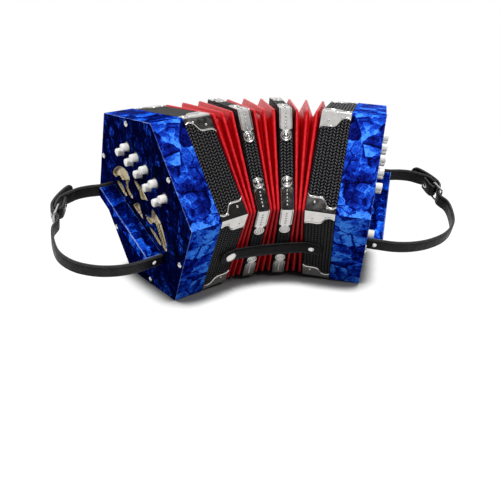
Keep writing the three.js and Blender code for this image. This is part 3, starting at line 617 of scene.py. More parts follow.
def clip_recess_shade(finish):
    """Painted shade: dark in the rings round each rose and in the line inside a clip's raised border"""
    along, across, _ = finish.split(finish.panel())
    half = CLIP_SPREAD / 2
    away = abs(finish.math("WRAP", along, half, -half))
    across = abs(across)
    from_rose = away - ROSE_PLACE
    radius = finish.math("SQRT", from_rose * from_rose + across * across)
    dark = across.groove(4.55, 0.3) * away.span(18.2, 18.4, 1.0, 0.0)
    for ring in (1.6, 3.6):
        dark = dark.over(radius.groove(ring, 0.35))
    return dark * 0.8


def grille_cloth(name):
    """Gold cloth with fine dark stripes that wander, and a tight weave"""
    finish = Finish(name, Roughness=0.5, Sheen_Weight=0.3, Sheen_Roughness=0.4)
    panel = finish.panel()
    x, y, _ = finish.split(panel)
    drift = finish.noise(panel, 16, 1) * 26.0 + x
    line = finish.math("PINGPONG", y * 0.55 + drift, 1.5).span(0.1, 0.7, 1.0, 0.0)
    weave = finish.value("TexChecker", {"Vector": panel, "Scale": 2.5}, "Fac")
    thread = finish.mix(weave * 0.25, (0.86, 0.75, 0.50), (0.60, 0.48, 0.24))
    finish.colour(finish.mix(line, thread, (0.10, 0.06, 0.02)))
    finish.bump(weave, 0.08, 0.6)
    return finish.material


def button_white(name):
    finish = Finish(
        name, Coat_Weight=0.3, Coat_Roughness=0.1, Subsurface_Weight=0.1, Subsurface_Radius=(2 * MM,) * 3,
    )
    clouds = finish.noise(finish.place(), 5, 2)
    finish.colour(finish.mix(clouds, (0.84, 0.83, 0.79), (0.93, 0.92, 0.90)))
    finish.roughness(clouds.span(0.3, 0.7, 0.22, 0.34))
    return finish.material


def felt(name):
    finish = Finish(name, Roughness=0.95, Sheen_Weight=0.4)
    fibres = finish.noise(finish.place(), 0.35, 4, 0.7)
    finish.colour(finish.mix(fibres, (0.006, 0.007, 0.012), (0.03, 0.034, 0.05)))
    finish.bump(fibres, 0.2, 0.8)
    return finish.material


def wood(name):
    finish = Finish(name)
    rings = finish.noise(finish.vector("MULTIPLY", finish.place(), (1, 1, 0.12)), 2.5, 5, 0.6, 0.6)
    finish.colour(finish.ramp(rings, [(0.3, (0.30, 0.15, 0.06)), (0.7, (0.58, 0.36, 0.17))]))
    finish.roughness(rings.span(0.3, 0.7, 0.55, 0.7))
    finish.bump(rings, 0.08, 0.5)
    return finish.material


BLUE = pearl("blue_pearl", [
    (0.0, (0.001, 0.0012, 0.012)), (0.14, (0.002, 0.0035, 0.08)), (0.34, (0.004, 0.013, 0.23)),
    (0.52, (0.006, 0.036, 0.42)), (0.70, (0.012, 0.095, 0.70)), (0.92, (0.06, 0.28, 1.0)),
])
# A darker pearl for the hand rests, also laid on the left cap's top face as painted shade.
BLUE_REST_AND_SHADED_TOP = pearl("blue_pearl_rest_and_shaded_top", [
    (0.0, (0.0003, 0.0010, 0.02)), (0.16, (0.0005, 0.002, 0.045)), (0.38, (0.001, 0.008, 0.15)),
    (0.56, (0.003, 0.034, 0.40)), (0.74, (0.008, 0.095, 0.72)), (0.94, (0.04, 0.26, 1.0)),
], darkness=0.47)
# The plates' pearl: a darker copy of the blue pearl as painted shade, with its own long streaks.
SHADED_BLUE_PLATE = pearl("blue_pearl_plate_painted_shade", [
    (0.10, (0.0007, 0.0012, 0.007)), (0.44, (0.0012, 0.0022, 0.018)), (0.60, (0.0015, 0.006, 0.06)),
    (0.80, (0.005, 0.026, 0.30)), (1.0, (0.03, 0.15, 0.80)),
], darkness=0.61, shard_weight=0.55, size=3.0, length=8.0, weight=1.1, turn=0.08, lean=-0.77)
# A paler pearl for the arrises of the plates and rests, as a painted edge highlight.
EDGE_HIGHLIGHT = pearl("pearl_edge_highlight", [
    (0.1, (0.02, 0.04, 0.22)), (0.4, (0.06, 0.12, 0.42)), (0.7, (0.16, 0.26, 0.62)),
    (0.95, (0.35, 0.45, 0.75)),
])
LEATHERETTE = leatherette("black_leatherette")
LEATHER = leather("black_leather", (0.003, 0.003, 0.0035), (0.016, 0.016, 0.017), 0.11)
DULL_LEATHER = leather("dull_black_leather", (0.005, 0.005, 0.0055), (0.010, 0.010, 0.011), 0.05)
CLOTH = bellows_cloth("red_bellows_cloth")
CHROME = chrome("chrome")
CLIP_CHROME = chrome("clip_chrome", recess_shade=clip_recess_shade)
STEEL = chrome("bolt_steel", (0.70, 0.69, 0.67), 0.2)
# A near-black metal as painted shade, in the screw slots and round the clip dots.
PAINTED_SHADE_METAL = chrome("slot_shadow", (0.03, 0.03, 0.03), 0.5)
GOLD = grille_cloth("gold_grille_cloth")
WHITE = button_white("white_button")
FELT = felt("dark_felt")
WOOD = wood("planed_wood")


# Shells
class Shell:
    """Points and faces in millimetres, with a finish and flat coordinates for each face"""

    def __init__(self):
        self.points = []
        self.values = []
        self.faces = []
        self.marks = []
        self.flats = []

    def add(self, points, faces, mark=0, flats=None, values=None):
        base = len(self.points)
        self.points += [Vector(p) for p in points]
        self.values += list(values) if values else [0.0] * len(points)
        for face in faces:
            self.faces.append([base + i for i in face])
            self.marks.append(mark(face) if callable(mark) else mark)
            self.flats.append([flats[i] for i in face] if flats else None)
        return self

    def join(self, other, matrix=None, mark=None):
        base = len(self.points)
        self.points += [matrix @ p for p in other.points] if matrix else other.points
        self.values += other.values
        self.faces += [[base + i for i in face] for face in other.faces]
        self.marks += other.marks if mark is None else [mark] * len(other.marks)
        self.flats += other.flats
        return self


def face_normal(points):
    total = Vector((0, 0, 0))
    for a, b in zip(points, points[1:] + points[:1]):
        total += a.cross(b)
    return total.normalized() if total.length > 0 else Vector((0, 0, 1))


def panel_flat(points):
    """Flat coordinates of a face on its side of the prism about Z, or on its top or bottom"""
    normal = face_normal(points)
    if abs(normal.z) > math.sin(math.radians(50)):
        shift = PANEL_SPREAD if normal.z > 0 else -PANEL_SPREAD
        return [(p.x + shift, p.y + shift) for p in points]
    k = round(math.atan2(normal.y, normal.x) / (SIXTH / 2))
    tangent = polar(1, k * SIXTH / 2 + QUARTER)
    return [(p.dot(tangent) + k * PANEL_SPREAD, p.z) for p in points]


def piece(name, shell, matrix, finishes, body, replaces=(), smooth=35):
    """Makes the shell an object in the row's frame and lets it ride on its body"""
    to_row = TO_ROW @ matrix
    mesh = bpy.data.meshes.new(name)
    mesh.from_pydata([to_row @ p for p in shell.points], [], shell.faces)
    for finish in finishes:
        mesh.materials.append(finish)
    layer = mesh.uv_layers.new(name="panels")
    for polygon, mark, flat in zip(mesh.polygons, shell.marks, shell.flats):
        polygon.material_index = mark
        polygon.use_smooth = True
        corners = [shell.points[i] for i in polygon.vertices]
        for loop, place in zip(polygon.loop_indices, flat or panel_flat(corners)):
            layer.data[loop].uv = place
    if any(shell.values):
        mesh.attributes.new("height", "FLOAT", "POINT").data.foreach_set("value", shell.values)
    work = bmesh.new()
    work.from_mesh(mesh)
    bmesh.ops.remove_doubles(work, verts=work.verts, dist=1e-7)
    bmesh.ops.recalc_face_normals(work, faces=work.faces)
    work.to_mesh(mesh)
    work.free()
    mesh.set_sharp_from_angle(angle=math.radians(smooth))
    made = placed(name, mesh)
    if replaces:
        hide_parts(*replaces)
    if body:
        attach(made, body)
    return made


def end_piece(end, name, shell, finishes, replaces=(), smooth=35, shift=(0, 0, 0)):
    """A piece in the frame of an end's plate, on that end"""
    matrix = PLATE[end] @ Matrix.Translation(shift)
    nodes = [f"{end}_{node}" for node in replaces]
    return piece(f"{end}_{name}", shell, matrix, finishes, f"{end}_end", nodes, smooth)


def loft(rings, looped=False, capped=True, **extras):
    """Rings of points joined in order; the ends are capped, unless the last ring joins the first"""
    count = len(rings[0])
    faces = []
    for i in range(len(rings) if looped else len(rings) - 1):
        a, b = i * count, (i + 1) % len(rings) * count
        for j in range(count):
            k = (j + 1) % count
            faces.append([a + j, a + k, b + k, b + j])
    if capped and not looped:
        faces.append(list(range(count))[::-1])
        faces.append([(len(rings) - 1) * count + j for j in range(count)])
    return Shell().add([p for ring in rings for p in ring], faces, **extras)


def turned(profile, facets):
    """A body of revolution about Z from pairs of radius and height, flat at both ends"""
    return loft([circle(radius, height, facets) for radius, height in profile])


def dome(radius, height, facets=24, steps=5, foot=0.0):
    """A domed head on a short straight foot"""
    profile = [(radius, -foot)]
    for i in range(steps + 1):
        angle = QUARTER * i / steps
        profile.append((max(radius * math.cos(angle), 0.02 * radius), height * math.sin(angle)))
    return turned(profile, facets)


def hexagon_ring(apothem, corner, z, steps=4):
    """A hexagon about Z with its corners rounded, and a flat side towards +X"""
    points = []
    for k in range(SIDES):
        middle = (k + 0.5) * SIXTH
        centre = polar((apothem - corner) * CORNER_RATIO, middle, z)
        points += arc(centre, corner, middle - SIXTH / 2, SIXTH, steps)
    return points


def hexagonal_tube(profile, mark=0):
    """A closed wall round the hexagon from a closed list of apothem and height"""
    return loft([hexagon_ring(apothem, HEX_CORNER, z) for apothem, z in profile], looped=True, mark=mark)


def rounded_rectangle(length, width, corner, radius, z=0.0, steps=3):
    """Arcs of a radius about the centres that the corner's own radius gives"""
    points = []
    for k, (sx, sy) in enumerate(((1, 1), (-1, 1), (-1, -1), (1, -1))):
        centre = Vector((sx * (length / 2 - corner), sy * (width / 2 - corner), z))
        points += arc(centre, radius, QUARTER * k, QUARTER, steps)
    return points


def rounded_slab(length, width, low, high, corner, edge):
    """A rectangular block with rounded upright corners and broken top and bottom edges"""
    profile = [(edge, low), (0.3 * edge, low + 0.3 * edge), (0, low + edge)]
    profile += [(inset, low + high - z) for inset, z in reversed(profile)]
    return loft([
        rounded_rectangle(length, width, corner, max(corner - inset, 0.05), z) for inset, z in profile
    ])


def smooth_path(points, closed=False, steps=8):
    """A centripetal curve through the points, as a list of finely spaced points"""
    count = len(points)
    out = []

    def at(i):
        if closed:
            return points[i % count]
        if i < 0:
            return 2 * points[0] - points[1]
        if i >= count:
            return 2 * points[-1] - points[-2]
        return points[i]

    for i in range(count if closed else count - 1):
        p0, p1, p2, p3 = (at(i + k) for k in (-1, 0, 1, 2))
        d0, d1, d2 = (max((b - a).length ** 0.5, 1e-4) for a, b in ((p0, p1), (p1, p2), (p2, p3)))
        t1 = ((p1 - p0) / d0 - (p2 - p0) / (d0 + d1) + (p2 - p1) / d1) * d1
        t2 = ((p2 - p1) / d1 - (p3 - p1) / (d1 + d2) + (p3 - p2) / d2) * d1
        for j in range(steps):
            u = j / steps
            a, b = 2 * u ** 3 - 3 * u ** 2 + 1, u ** 3 - 2 * u ** 2 + u
            c, d = -2 * u ** 3 + 3 * u ** 2, u ** 3 - u ** 2
            out.append(a * p1 + b * t1 + c * p2 + d * t2)
    if not closed:
        out.append(points[-1].copy())
    return out


def evaluated(thing):
    """The mesh that an object's curve or modifiers give"""
    bpy.context.view_layer.update()
    graph = bpy.context.evaluated_depsgraph_get()
    return bpy.data.meshes.new_from_object(thing.evaluated_get(graph))


def filled_plate(outlines, low, high, edge, mark_of):
    """A flat plate with holes, from its outline and the holes' outlines, with all edges rounded"""
    curve = bpy.data.curves.new("outline", "CURVE")
    curve.dimensions = "2D"
    curve.fill_mode = "BOTH"
    curve.extrude = (high - low) / 2 - edge
    curve.bevel_depth = edge
    curve.bevel_resolution = 1
    curve.offset = -edge
    for outline in outlines:
        spline = curve.splines.new("POLY")
        spline.points.add(len(outline) - 1)
        spline.points.foreach_set("co", [c for p in outline for c in (p.x, p.y, 0, 1)])
        spline.use_cyclic_u = True
    holder = placed("outline", curve)
    mesh = evaluated(holder)
    shift = Vector((0, 0, (high + low) / 2))
    points = [v.co + shift for v in mesh.vertices]
    faces = [list(p.vertices) for p in mesh.polygons]
    bpy.data.objects.remove(holder)
    bpy.data.curves.remove(curve)
    bpy.data.meshes.remove(mesh)
    return Shell().add(points, faces, lambda face: mark_of([points[i] for i in face]))


# End caps
def button_places(end):
    """Button centres on the plate, along the hand rest and up from it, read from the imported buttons"""
    to_plate = (TO_ROW @ PLATE[end]).inverted()
    names = [name for name in frame["nodes"] if name.startswith(end + "_button")]
    if end == "right":
        names.append("air_button")
    places = []
    for name in sorted(names):
        centre = to_plate @ mean([v.co for v in frame["nodes"][name].data.vertices])
        places.append((name, Vector((centre.x, centre.y, 0))))
    return places


def fret_outline(shares):
    return smooth_path([FRET_SPAN * Vector((*share, 0)) for share in shares], closed=True, steps=6)


def make_cap(end):
    places = [place for _, place in button_places(end)]
    outline = hexagon_ring(APOTHEM, HEX_CORNER, 0)
    holes = [fret_outline(shares) for shares in fret_shares]
    holes += [[place + p for p in circle(BUTTON_RADIUS + CLEARANCE)] for place in places]
    frets_below = min(place.y for place in places) - 2 * BUTTON_RADIUS

    # Plate faces take the darker plate pearl, which is painted shade; hole walls below the buttons take the
    # gold cloth.
    def plate_mark(corners):
        tilt = abs(face_normal(corners).z)
        if tilt > 0.97:
            return 1
        # The outer edge's bevels take the pale pearl as a painted edge highlight.
        if min(p.xy.length for p in corners) > APOTHEM - 1:
            return 2 if tilt > 0.15 else 0
        return 3 if tilt < 0.15 and max(p.y for p in corners) < frets_below else 1

    shell = filled_plate([outline, *holes], -CAP_PLATE, 0, FRET_EDGE, plate_mark)
    inner = APOTHEM - CAP_WALL
    rim = -FRET_EDGE - 0.05
    skin = APOTHEM + 0.01
    tube_profile = [
        (inner, -CAP_DEPTH), (APOTHEM - ARRIS, -CAP_DEPTH), (skin, ARRIS - CAP_DEPTH), (skin, rim),
        (APOTHEM - 1, rim - 0.01), (inner, -CAP_PLATE),
    ]
    count = len(outline)
    top_face = {2 * count // SIDES - 1, 2 * count // SIDES}

    # The left cap's top face takes the rest's darker pearl as painted shade.
    def shaded_top_mark(face):
        return 4 if end == "left" and {i % count for i in face} == top_face else 0

    shell.join(hexagonal_tube(tube_profile, shaded_top_mark))
    finishes = [BLUE, SHADED_BLUE_PLATE, EDGE_HIGHLIGHT, GOLD, BLUE_REST_AND_SHADED_TOP]
    end_piece(end, "cap", shell, finishes, ["end_cap"], smooth=18)


def slotted_head(radius, height, turn):
    """A domed screw head with a straight slot, drawn as a near-black slab set into the dome as painted shade
    """
    x, y = 0.8 * radius, 0.22 * radius
    corners = ((-x, -y), (x, -y), (x, y), (-x, y))
    slot = loft([[Vector((*corner, z)) for corner in corners] for z in (0.3 * height, 0.72 * height)])
    return dome(radius, height, foot=0.2).join(slot, Matrix.Rotation(turn, 4, "Z"), mark=1)


def make_bolts(end):
    shell = Shell()
    for k in range(SIDES):
        slot_turn = 0.7 + 1.9 * k
        place = Matrix.Translation(polar(BOLT_CIRCLE, k * SIXTH))
        shell.join(slotted_head(BOLT_RADIUS, BOLT_HEIGHT, slot_turn), place)
    end_piece(end, "bolts", shell, [STEEL, PAINTED_SHADE_METAL])


def make_buttons(end):
    rounding = ((0, -0.75), (0.12, -0.35), (0.42, -0.08), (0.9, 0))
    crown = [(BUTTON_RADIUS - inset, BUTTON_HEIGHT + rise) for inset, rise in rounding]
    crown = [(BUTTON_RADIUS, -BUTTON_STEM), *crown, (0.4, BUTTON_HEIGHT + 0.05)]
    hole = BUTTON_RADIUS + FELT_GAP
    ring = [
        (hole, 0.02), (FELT_RADIUS, 0.02), (FELT_RADIUS, 0.6 * FELT_HEIGHT), (FELT_RADIUS - 0.2, FELT_HEIGHT),
        (hole, FELT_HEIGHT),
    ]
    # A dark felt ring round each button, which also stands for the shade down in the button hole.
    felts_and_hole_shade = Shell()
    for name, place in button_places(end):
        shift = Matrix.Translation(place)
        piece(f"{name}_top", turned(crown, 32), PLATE[end] @ shift, [WHITE], name, [name])
        felts_and_hole_shade.join(loft([circle(radius, z) for radius, z in ring], looped=True), shift)
    end_piece(end, "felts_and_hole_shade", felts_and_hole_shade, [FELT])


def make_grille(end):
    high = -CAP_PLATE - CLEARANCE
    low = high - GRILLE_THICKNESS
    shell = rounded_slab(GRILLE_LENGTH, GRILLE_WIDTH, low, high, GRILLE_CORNER, GRILLE_EDGE)
    made = end_piece(end, "grille", shell, [GOLD], ["grille_cloth"], shift=(0, GRILLE_RISE, 0))


def make_rest(end):
    rest = rounded_slab(REST_LENGTH, REST_THICKNESS, CLEARANCE, REST_HEIGHT, REST_CORNER, REST_EDGE)
    normals = [face_normal([rest.points[i] for i in face]) for face in rest.faces]
    # Bevel faces take the pale pearl as a painted edge highlight.
    rest.marks = [1 if sum(abs(c) > 0.25 for c in normal) > 1 else 0 for normal in normals]
    finishes = [BLUE_REST_AND_SHADED_TOP, EDGE_HIGHLIGHT]
    end_piece(end, "rest", rest, finishes, ["hand_rest"], shift=(0, -REST_DROP, 0))


# Casings and bands, with their chrome
def frame_tube(low, high, inside):
    """A covered frame, with its inner profile from the high end down to the opening"""
    outer, edge = FRAME_APOTHEM, FRAME_EDGE
    outside = [(outer - edge, low), (outer, low + edge), (outer, high - edge), (outer - edge, high)]
    return hexagonal_tube([(OPENING_APOTHEM, low), *outside, *inside])


def make_casing(end):
    inner, flange = FRAME_APOTHEM - CASING_WALL, CASING_LOW + CASING_FLANGE
    inside = [(inner, CASING_HIGH), (inner, flange), (OPENING_APOTHEM, flange)]
    shell = frame_tube(CASING_LOW, CASING_HIGH, inside)
    end_piece(end, "casing_body", shell, [LEATHERETTE], ["casing"])


def make_band(end):
    shell = frame_tube(0, BAND_WIDTH, [(OPENING_APOTHEM, BAND_WIDTH)])
    matrix = plate_axes(LEAVES[end]["band"], -1)
    body = f"{end}_band"
    piece(f"{end}_band_body", shell, matrix, [LEATHERETTE], body, [body])
    piece(f"{end}_clips", clips(), matrix, [CLIP_CHROME, PAINTED_SHADE_METAL], body, smooth=40)


def around_corner(distance, height, along, k):
    """The place at a distance from corner k along the frame's sides, a height above them and along Z"""
    middle = (k + 0.5) * SIXTH
    in_bend = max(-HALF_BEND, min(HALF_BEND, distance))
    outward = polar(1, middle + in_bend / PLATE_BEND)
    tangent = Vector((-outward.y, outward.x, 0))
    centre = polar((FRAME_APOTHEM - PLATE_BEND) * CORNER_RATIO, middle, along)
    return centre + (PLATE_BEND + height) * outward + (distance - in_bend) * tangent


def on_plate(distance, height, along, k):
    """A matrix on a bent plate, with Z out of the leaf on the distance's side of the corner"""
    outward = (k + 0.5) * SIXTH + math.copysign(SIXTH / 2, distance)
    basis = Matrix.Rotation(outward, 4, "Z") @ Matrix.Rotation(QUARTER, 4, "Y")
    return Matrix.Translation(around_corner(distance, height, along, k)) @ basis


def bent_plate(rows, k, spread, middle=0):
    """A thin plate bent round corner k, from rows of distance from the corner, place along and height"""
    top, bottom, flats = [], [], []
    for distance, along, height in (point for row in rows for point in row):
        top.append(around_corner(distance, height, middle + along, k))
        bottom.append(around_corner(distance, -PLATE_SUNK, middle + along, k))
        flats.append((distance + spread * k, along))
    total, count, last = len(top), len(rows[0]), len(rows) - 1
    faces = []
    for i in range(last):
        for a in range(i * count, (i + 1) * count - 1):
            b = a + count
            faces.append([a, a + 1, b + 1, b])
            faces.append([total + a, total + b, total + b + 1, total + a + 1])
    border = [*range(count), *[i * count - 1 for i in range(2, last + 2)]]
    border += [last * count + j for j in range(count - 2, -1, -1)]
    border += [i * count for i in range(last - 1, 0, -1)]
    for a, b in zip(border, border[1:] + border[:1]):
        faces.append([a, total + a, total + b, b])
    return Shell().add(top + bottom, faces, flats=flats + flats)


def smooth_between(shares, steps):
    """Values of a smooth line through pairs of place and value, at even places from 0 to 1"""
    path = smooth_path([Vector((*share, 0)) for share in shares], steps=10)
    values = []
    for i in range(steps + 1):
        place = i / steps
        after = next((j for j, p in enumerate(path) if p.x >= place - 1e-9), len(path) - 1)
        a, b = path[max(after - 1, 0)], path[after]
        share = 0 if b.x - a.x < 1e-9 else (place - a.x) / (b.x - a.x)
        values.append(a.y + (b.y - a.y) * share)
    return values


def rim_height(from_edge):
    """A rolled rim round a flat field"""
    return PLATE_FACE + PLATE_RIM * math.sin(math.pi * min(from_edge / PLATE_RIM_WIDTH, 1)) ** 0.7


def make_protectors(end):
    depth = CASING_HIGH - CASING_LOW
    steps, field_steps, margin = 44, 8, 0.15
    rows = []
    for i, share in enumerate(smooth_between(protector_shares, steps)):
        limit = share * PROTECTOR_HEIGHT
        field = limit - PLATE_RIM_WIDTH - HALF_BEND
        half = [HALF_BEND / 2, *[HALF_BEND + field * j / field_steps for j in range(field_steps + 1)]]
        half += [limit - inset for inset in (1.45, 1.0, 0.6, 0.25, 0)]
        along = CASING_LOW + margin + i / steps * (depth - 2 * margin)
        distances = [-distance for distance in reversed(half)] + [0, *half]
        rows.append([(distance, along, rim_height(limit - abs(distance))) for distance in distances])
    shell = Shell()
    for k in range(SIDES):
        shell.join(bent_plate(rows, k, PROTECTOR_SPREAD))
        for share, level in pin_shares:
            for distance in (-level * PROTECTOR_HEIGHT, level * PROTECTOR_HEIGHT):
                place = on_plate(distance, 0.1, CASING_LOW + share * depth, k)
                shell.join(dome(PIN_RADIUS, PIN_HEIGHT, 16, 4), place)
    end_piece(end, "protectors", shell, [CHROME], smooth=50)


# Radius and height of the rings on a clip's round ends
ROSE_PROFILE = (
    (0, 1.25), (0.9, 1.15), (1.3, 0.65), (1.9, 0.6), (2.3, 1.0), (2.9, 1.0), (3.3, 0.6), (3.9, 0.6),
    (4.3, 0.95), (4.8, 0.8), (5.1, 0.2),
)


def clip_half_width(away):
    """Half the clip's width at a distance from the corner: body, shoulders, neck and round rose"""
    half = BAND_WIDTH / 2 - CLIP_MARGIN
    if away <= CLIP_LENGTH - CLIP_SHOULDER:
        return half
    if away <= CLIP_LENGTH:
        return half - CLIP_NECK * (away - CLIP_LENGTH + CLIP_SHOULDER) / CLIP_SHOULDER
    in_rose = math.sqrt(max(CLIP_ROSE_RADIUS ** 2 - (away - ROSE_PLACE) ** 2, 0.0))
    return max(in_rose, half - CLIP_NECK if away < ROSE_PLACE - 3 else 0.05)


def clip_height(along, away):
    """Rim, sunken field and the rose's rings"""
    from_rose = math.hypot(away - ROSE_PLACE, along)
    if from_rose < CLIP_ROSE_RADIUS + 0.01:
        for (r0, h0), (r1, h1) in zip(ROSE_PROFILE, ROSE_PROFILE[1:]):
            if from_rose <= r1:
                return h0 + (h1 - h0) * (from_rose - r0) / (r1 - r0)
    from_edge = min(clip_half_width(away) - abs(along), CLIP_LENGTH - away)
    return 0.75 if 0.25 <= from_edge < 0.85 else 0.45


def clips():
    """Six clips round a band, each with a row of dots on both leaves"""
    body = [CLIP_LENGTH * (i / 20 - 1) for i in range(41)]
    rose = [CLIP_LENGTH + CLIP_ROSE_RADIUS * (1 - math.cos(math.pi * i / 26)) for i in range(1, 27)]
    across = [math.sin(QUARTER * (j / 13 - 1)) for j in range(27)]
    rows = []
    for distance in [-d for d in reversed(rose)] + body + rose:
        away = abs(distance)
        width = clip_half_width(min(away, ROSE_PLACE + CLIP_ROSE_RADIUS - 0.02))
        rows.append([(distance, width * share, clip_height(width * share, away)) for share in across])
    shell = Shell()
    for k in range(SIDES):
        shell.join(bent_plate(rows, k, CLIP_SPREAD, BAND_WIDTH / 2))
        for hand in (-1, 1):
            for i in range(5):
                spot = on_plate(hand * (DOT_START + DOT_PITCH * i), 0.35, BAND_WIDTH / 2, k)
                # A flat near-black disc under each dot, painted shade round it.
                shell.join(dome(1.5 * DOT_RADIUS, 0.16, 14, 2), spot, mark=1)
                shell.join(dome(DOT_RADIUS, DOT_HEIGHT, 14, 4), spot)
    return shell


# Bellows
SLOPE_SHARES = (0.33, 0.66)
CROWN_STEPS = 6
OPENED_SHARE = 1 - CROWN_OPENING / FOLD_DEPTH
SHOULDER_HEIGHT = 0.9


def fold_ring(leaf, along, radius, corner, straight=7):
    """A rounded hexagon in a leaf's plane, with a corner towards the player"""
    reach = radius - corner * CORNER_RATIO
    corners = [arc(polar(reach, k * SIXTH), corner, (k - 0.5) * SIXTH, SIXTH, 4) for k in range(SIDES)]
    points = []
    for row, following in zip(corners, corners[1:] + corners[:1]):
        points += row
        points += [row[-1].lerp(following[0], i / straight) for i in range(1, straight)]
    return [leaf @ Vector((along, -p.x, p.y)) for p in points]


def crown_ring(leaf, angle):
    """A ring over a fold's rounded crown, at an angle from its middle"""
    half = FOLD_THICKNESS / 2
    return fold_ring(leaf, half * math.sin(angle), FOLD_TOP - half + half * math.cos(angle), CROWN_CORNER)


def crown_rows(leaf, side, weight, gain=0.0):
    """Rings over the whole crown, each with its weight and height"""
    rows = []
    for i in range(CROWN_STEPS + 1):
        share = i / CROWN_STEPS
        ring = crown_ring(leaf, side * QUARTER * (1 - 2 * share))
        rows.append((ring, weight + gain * share, 1 - 0.1 * abs(2 * share - 1)))
    return rows


def between(a, b, share):
    return [p.lerp(q, share) for p, q in zip(a, b)]


def half_section(leaves):
    """Rings of the outer skin from the face to the middle fold's upper slope, with weights and heights"""
    side = leaves["side"]
    full = 2 + OPENED_SHARE
    foot = fold_ring(leaves["face"], -side * CLEARANCE, FOLD_FOOT, VALLEY_CORNER)
    crown = crown_rows(leaves["fold"], side, 1 / full)
    valley = fold_ring(leaves["valley"], 0, FOLD_FOOT, VALLEY_CORNER)
    top = between(valley, crown_ring(leaves["middle"], side * QUARTER), OPENED_SHARE)
    rise = OPENED_SHARE * SHOULDER_HEIGHT
    return [
        (foot, 0.0, 0.0),
        *[(between(foot, crown[0][0], s), s / full, s * SHOULDER_HEIGHT) for s in SLOPE_SHARES],
        *crown,
        *[
            (between(crown[-1][0], valley, s), (1 + s) / full, (1 - s) * SHOULDER_HEIGHT)
            for s in SLOPE_SHARES
        ],
        (valley, 2 / full, 0.0),
        (between(valley, top, 0.5), (2 + 0.5 * OPENED_SHARE) / full, 0.5 * rise),
        (top, 1.0, rise),
    ]


def middle_crown(left_leaves, right_leaves):
    """Rings of the middle fold's upper part, from the left half's last ring to the right half's"""
    left, right = half_section(left_leaves)[-1][0], half_section(right_leaves)[-1][0]
    crown = crown_rows(left_leaves["middle"], -1, 0.46, 0.08)
    low = OPENED_SHARE * SHOULDER_HEIGHT
    halfway = (low + SHOULDER_HEIGHT) / 2
    return [
        (left, 0.0, low), (between(left, crown[0][0], 0.5), 0.23, halfway), *crown,
        (between(crown[-1][0], right, 0.5), 0.77, halfway), (right, 1.0, low),
    ]


def make_skin(name, rows, bodies, replaces=()):
    """A sheet of bellows cloth with its own blend weights, given its thickness inwards"""
    rings = [ring for ring, _, _ in rows]
    count = len(rings[0])
    flats = []
    reach = 0.0
    for i, ring in enumerate(rings):
        if i:
            reach += (ring[0] - rings[i - 1][0]).length
        around = 0.0
        for j, point in enumerate(ring):
            if j:
                around += (point - ring[j - 1]).length
            flats.append((around, reach))
    # The heights pick the cloth's painted light in the valleys and painted highlight on the crowns.
    heights = [height + 0.001 for _, _, height in rows for _ in range(count)]
    shell = loft(rings, capped=False, flats=flats, values=heights)
    made = piece(name, shell, Matrix.Identity(4), [CLOTH], None, replaces, smooth=60)
    weights = [weight for _, weight, _ in rows for _ in range(count)]
    made.data.attributes.new("own_weight", "FLOAT", "POINT").data.foreach_set("value", weights)
    turn_outwards(made.data, TO_ROW @ mean(shell.points))
    thick = made.modifiers.new("wall", "SOLIDIFY")
    thick.thickness = CLOTH_WALL * MM
    thick.offset = -1
    solid = evaluated(made)
    made.modifiers.clear()
    made.data = solid
    kept = [0.0] * len(solid.vertices)
    solid.attributes["own_weight"].data.foreach_get("value", kept)
    low, high = Vector((-1, 0, 0)), Vector((1, 0, 0))
    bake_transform(made, *bodies, start=low, end=high)
    solid.attributes["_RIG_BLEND"].data.foreach_set("value", kept)


def turn_outwards(mesh, middle):
    """Flips an open skin's faces if most of them look towards its middle"""
    work = bmesh.new()
    work.from_mesh(mesh)
    outward = 0.0
    for face in work.faces:
        away = face.calc_center_median() - middle
        outward += face.normal.y * away.y + face.normal.z * away.z
    if outward < 0:
        bmesh.ops.reverse_faces(work, faces=work.faces)
    work.to_mesh(mesh)
    work.free()


def make_bellows():
    left, right = LEAVES["left"], LEAVES["right"]
    halves = {
        "left_outer": (left["outer"], "left_end"), "left_inner": (left["between"], "left_band"),
        "middle_left": (left["inner"], "left_band"), "middle_right": (right["inner"], "right_band"),
        "right_inner": (right["between"], "right_band"), "right_outer": (right["outer"], "right_end"),
    }
    for name, (leaves, carrier) in halves.items():
        section, half = name.split("_")
        bodies = (carrier, f"{name}_folds")
        make_skin(f"{name}_folds", half_section(leaves), bodies, [f"{section}_bellows_{half}_half"])
    middles = (
        ("left", "left_outer", "left_inner"), ("middle", "middle_left", "middle_right"),
        ("right", "right_inner", "right_outer"),
    )
    for section, a, b in middles:
        crown = middle_crown(halves[a][0], halves[b][0])
        make_skin(f"{section}_middle_fold", crown, (f"{a}_folds", f"{b}_folds"))


# Leather
def strap_section(half, thickness):
    """Half the strap's outline from one edge over the top, with a pressed line along each edge"""
    t = thickness / 2
    groove = max(half - STITCH_INSET, 0.35 * half)
    width = min(0.3, 0.1 * half)
    edge = min(0.7, 0.3 * half)
    top = [
        (half, 0), (half - 0.25 * edge, 0.6 * t), (half - edge, 0.95 * t), (groove + width, t),
        (groove, t - GROOVE_DEPTH), (groove - width, t), (0.5 * groove, 1.04 * t), (0, 1.06 * t),
    ]
    over = top + [(-x, y) for x, y in reversed(top[:-1])]
    under = [(-x, -y) for x, y in over[1:-1]]
    return over + under


def strap_end(radius, rounded):
    """Distances from a strap's end, with half its width there"""
    if not rounded:
        return [(0, radius)]
    angles = [share * QUARTER for share in round_end_shares]
    return [(radius * (1 - math.cos(a)), radius * math.sin(a)) for a in angles]


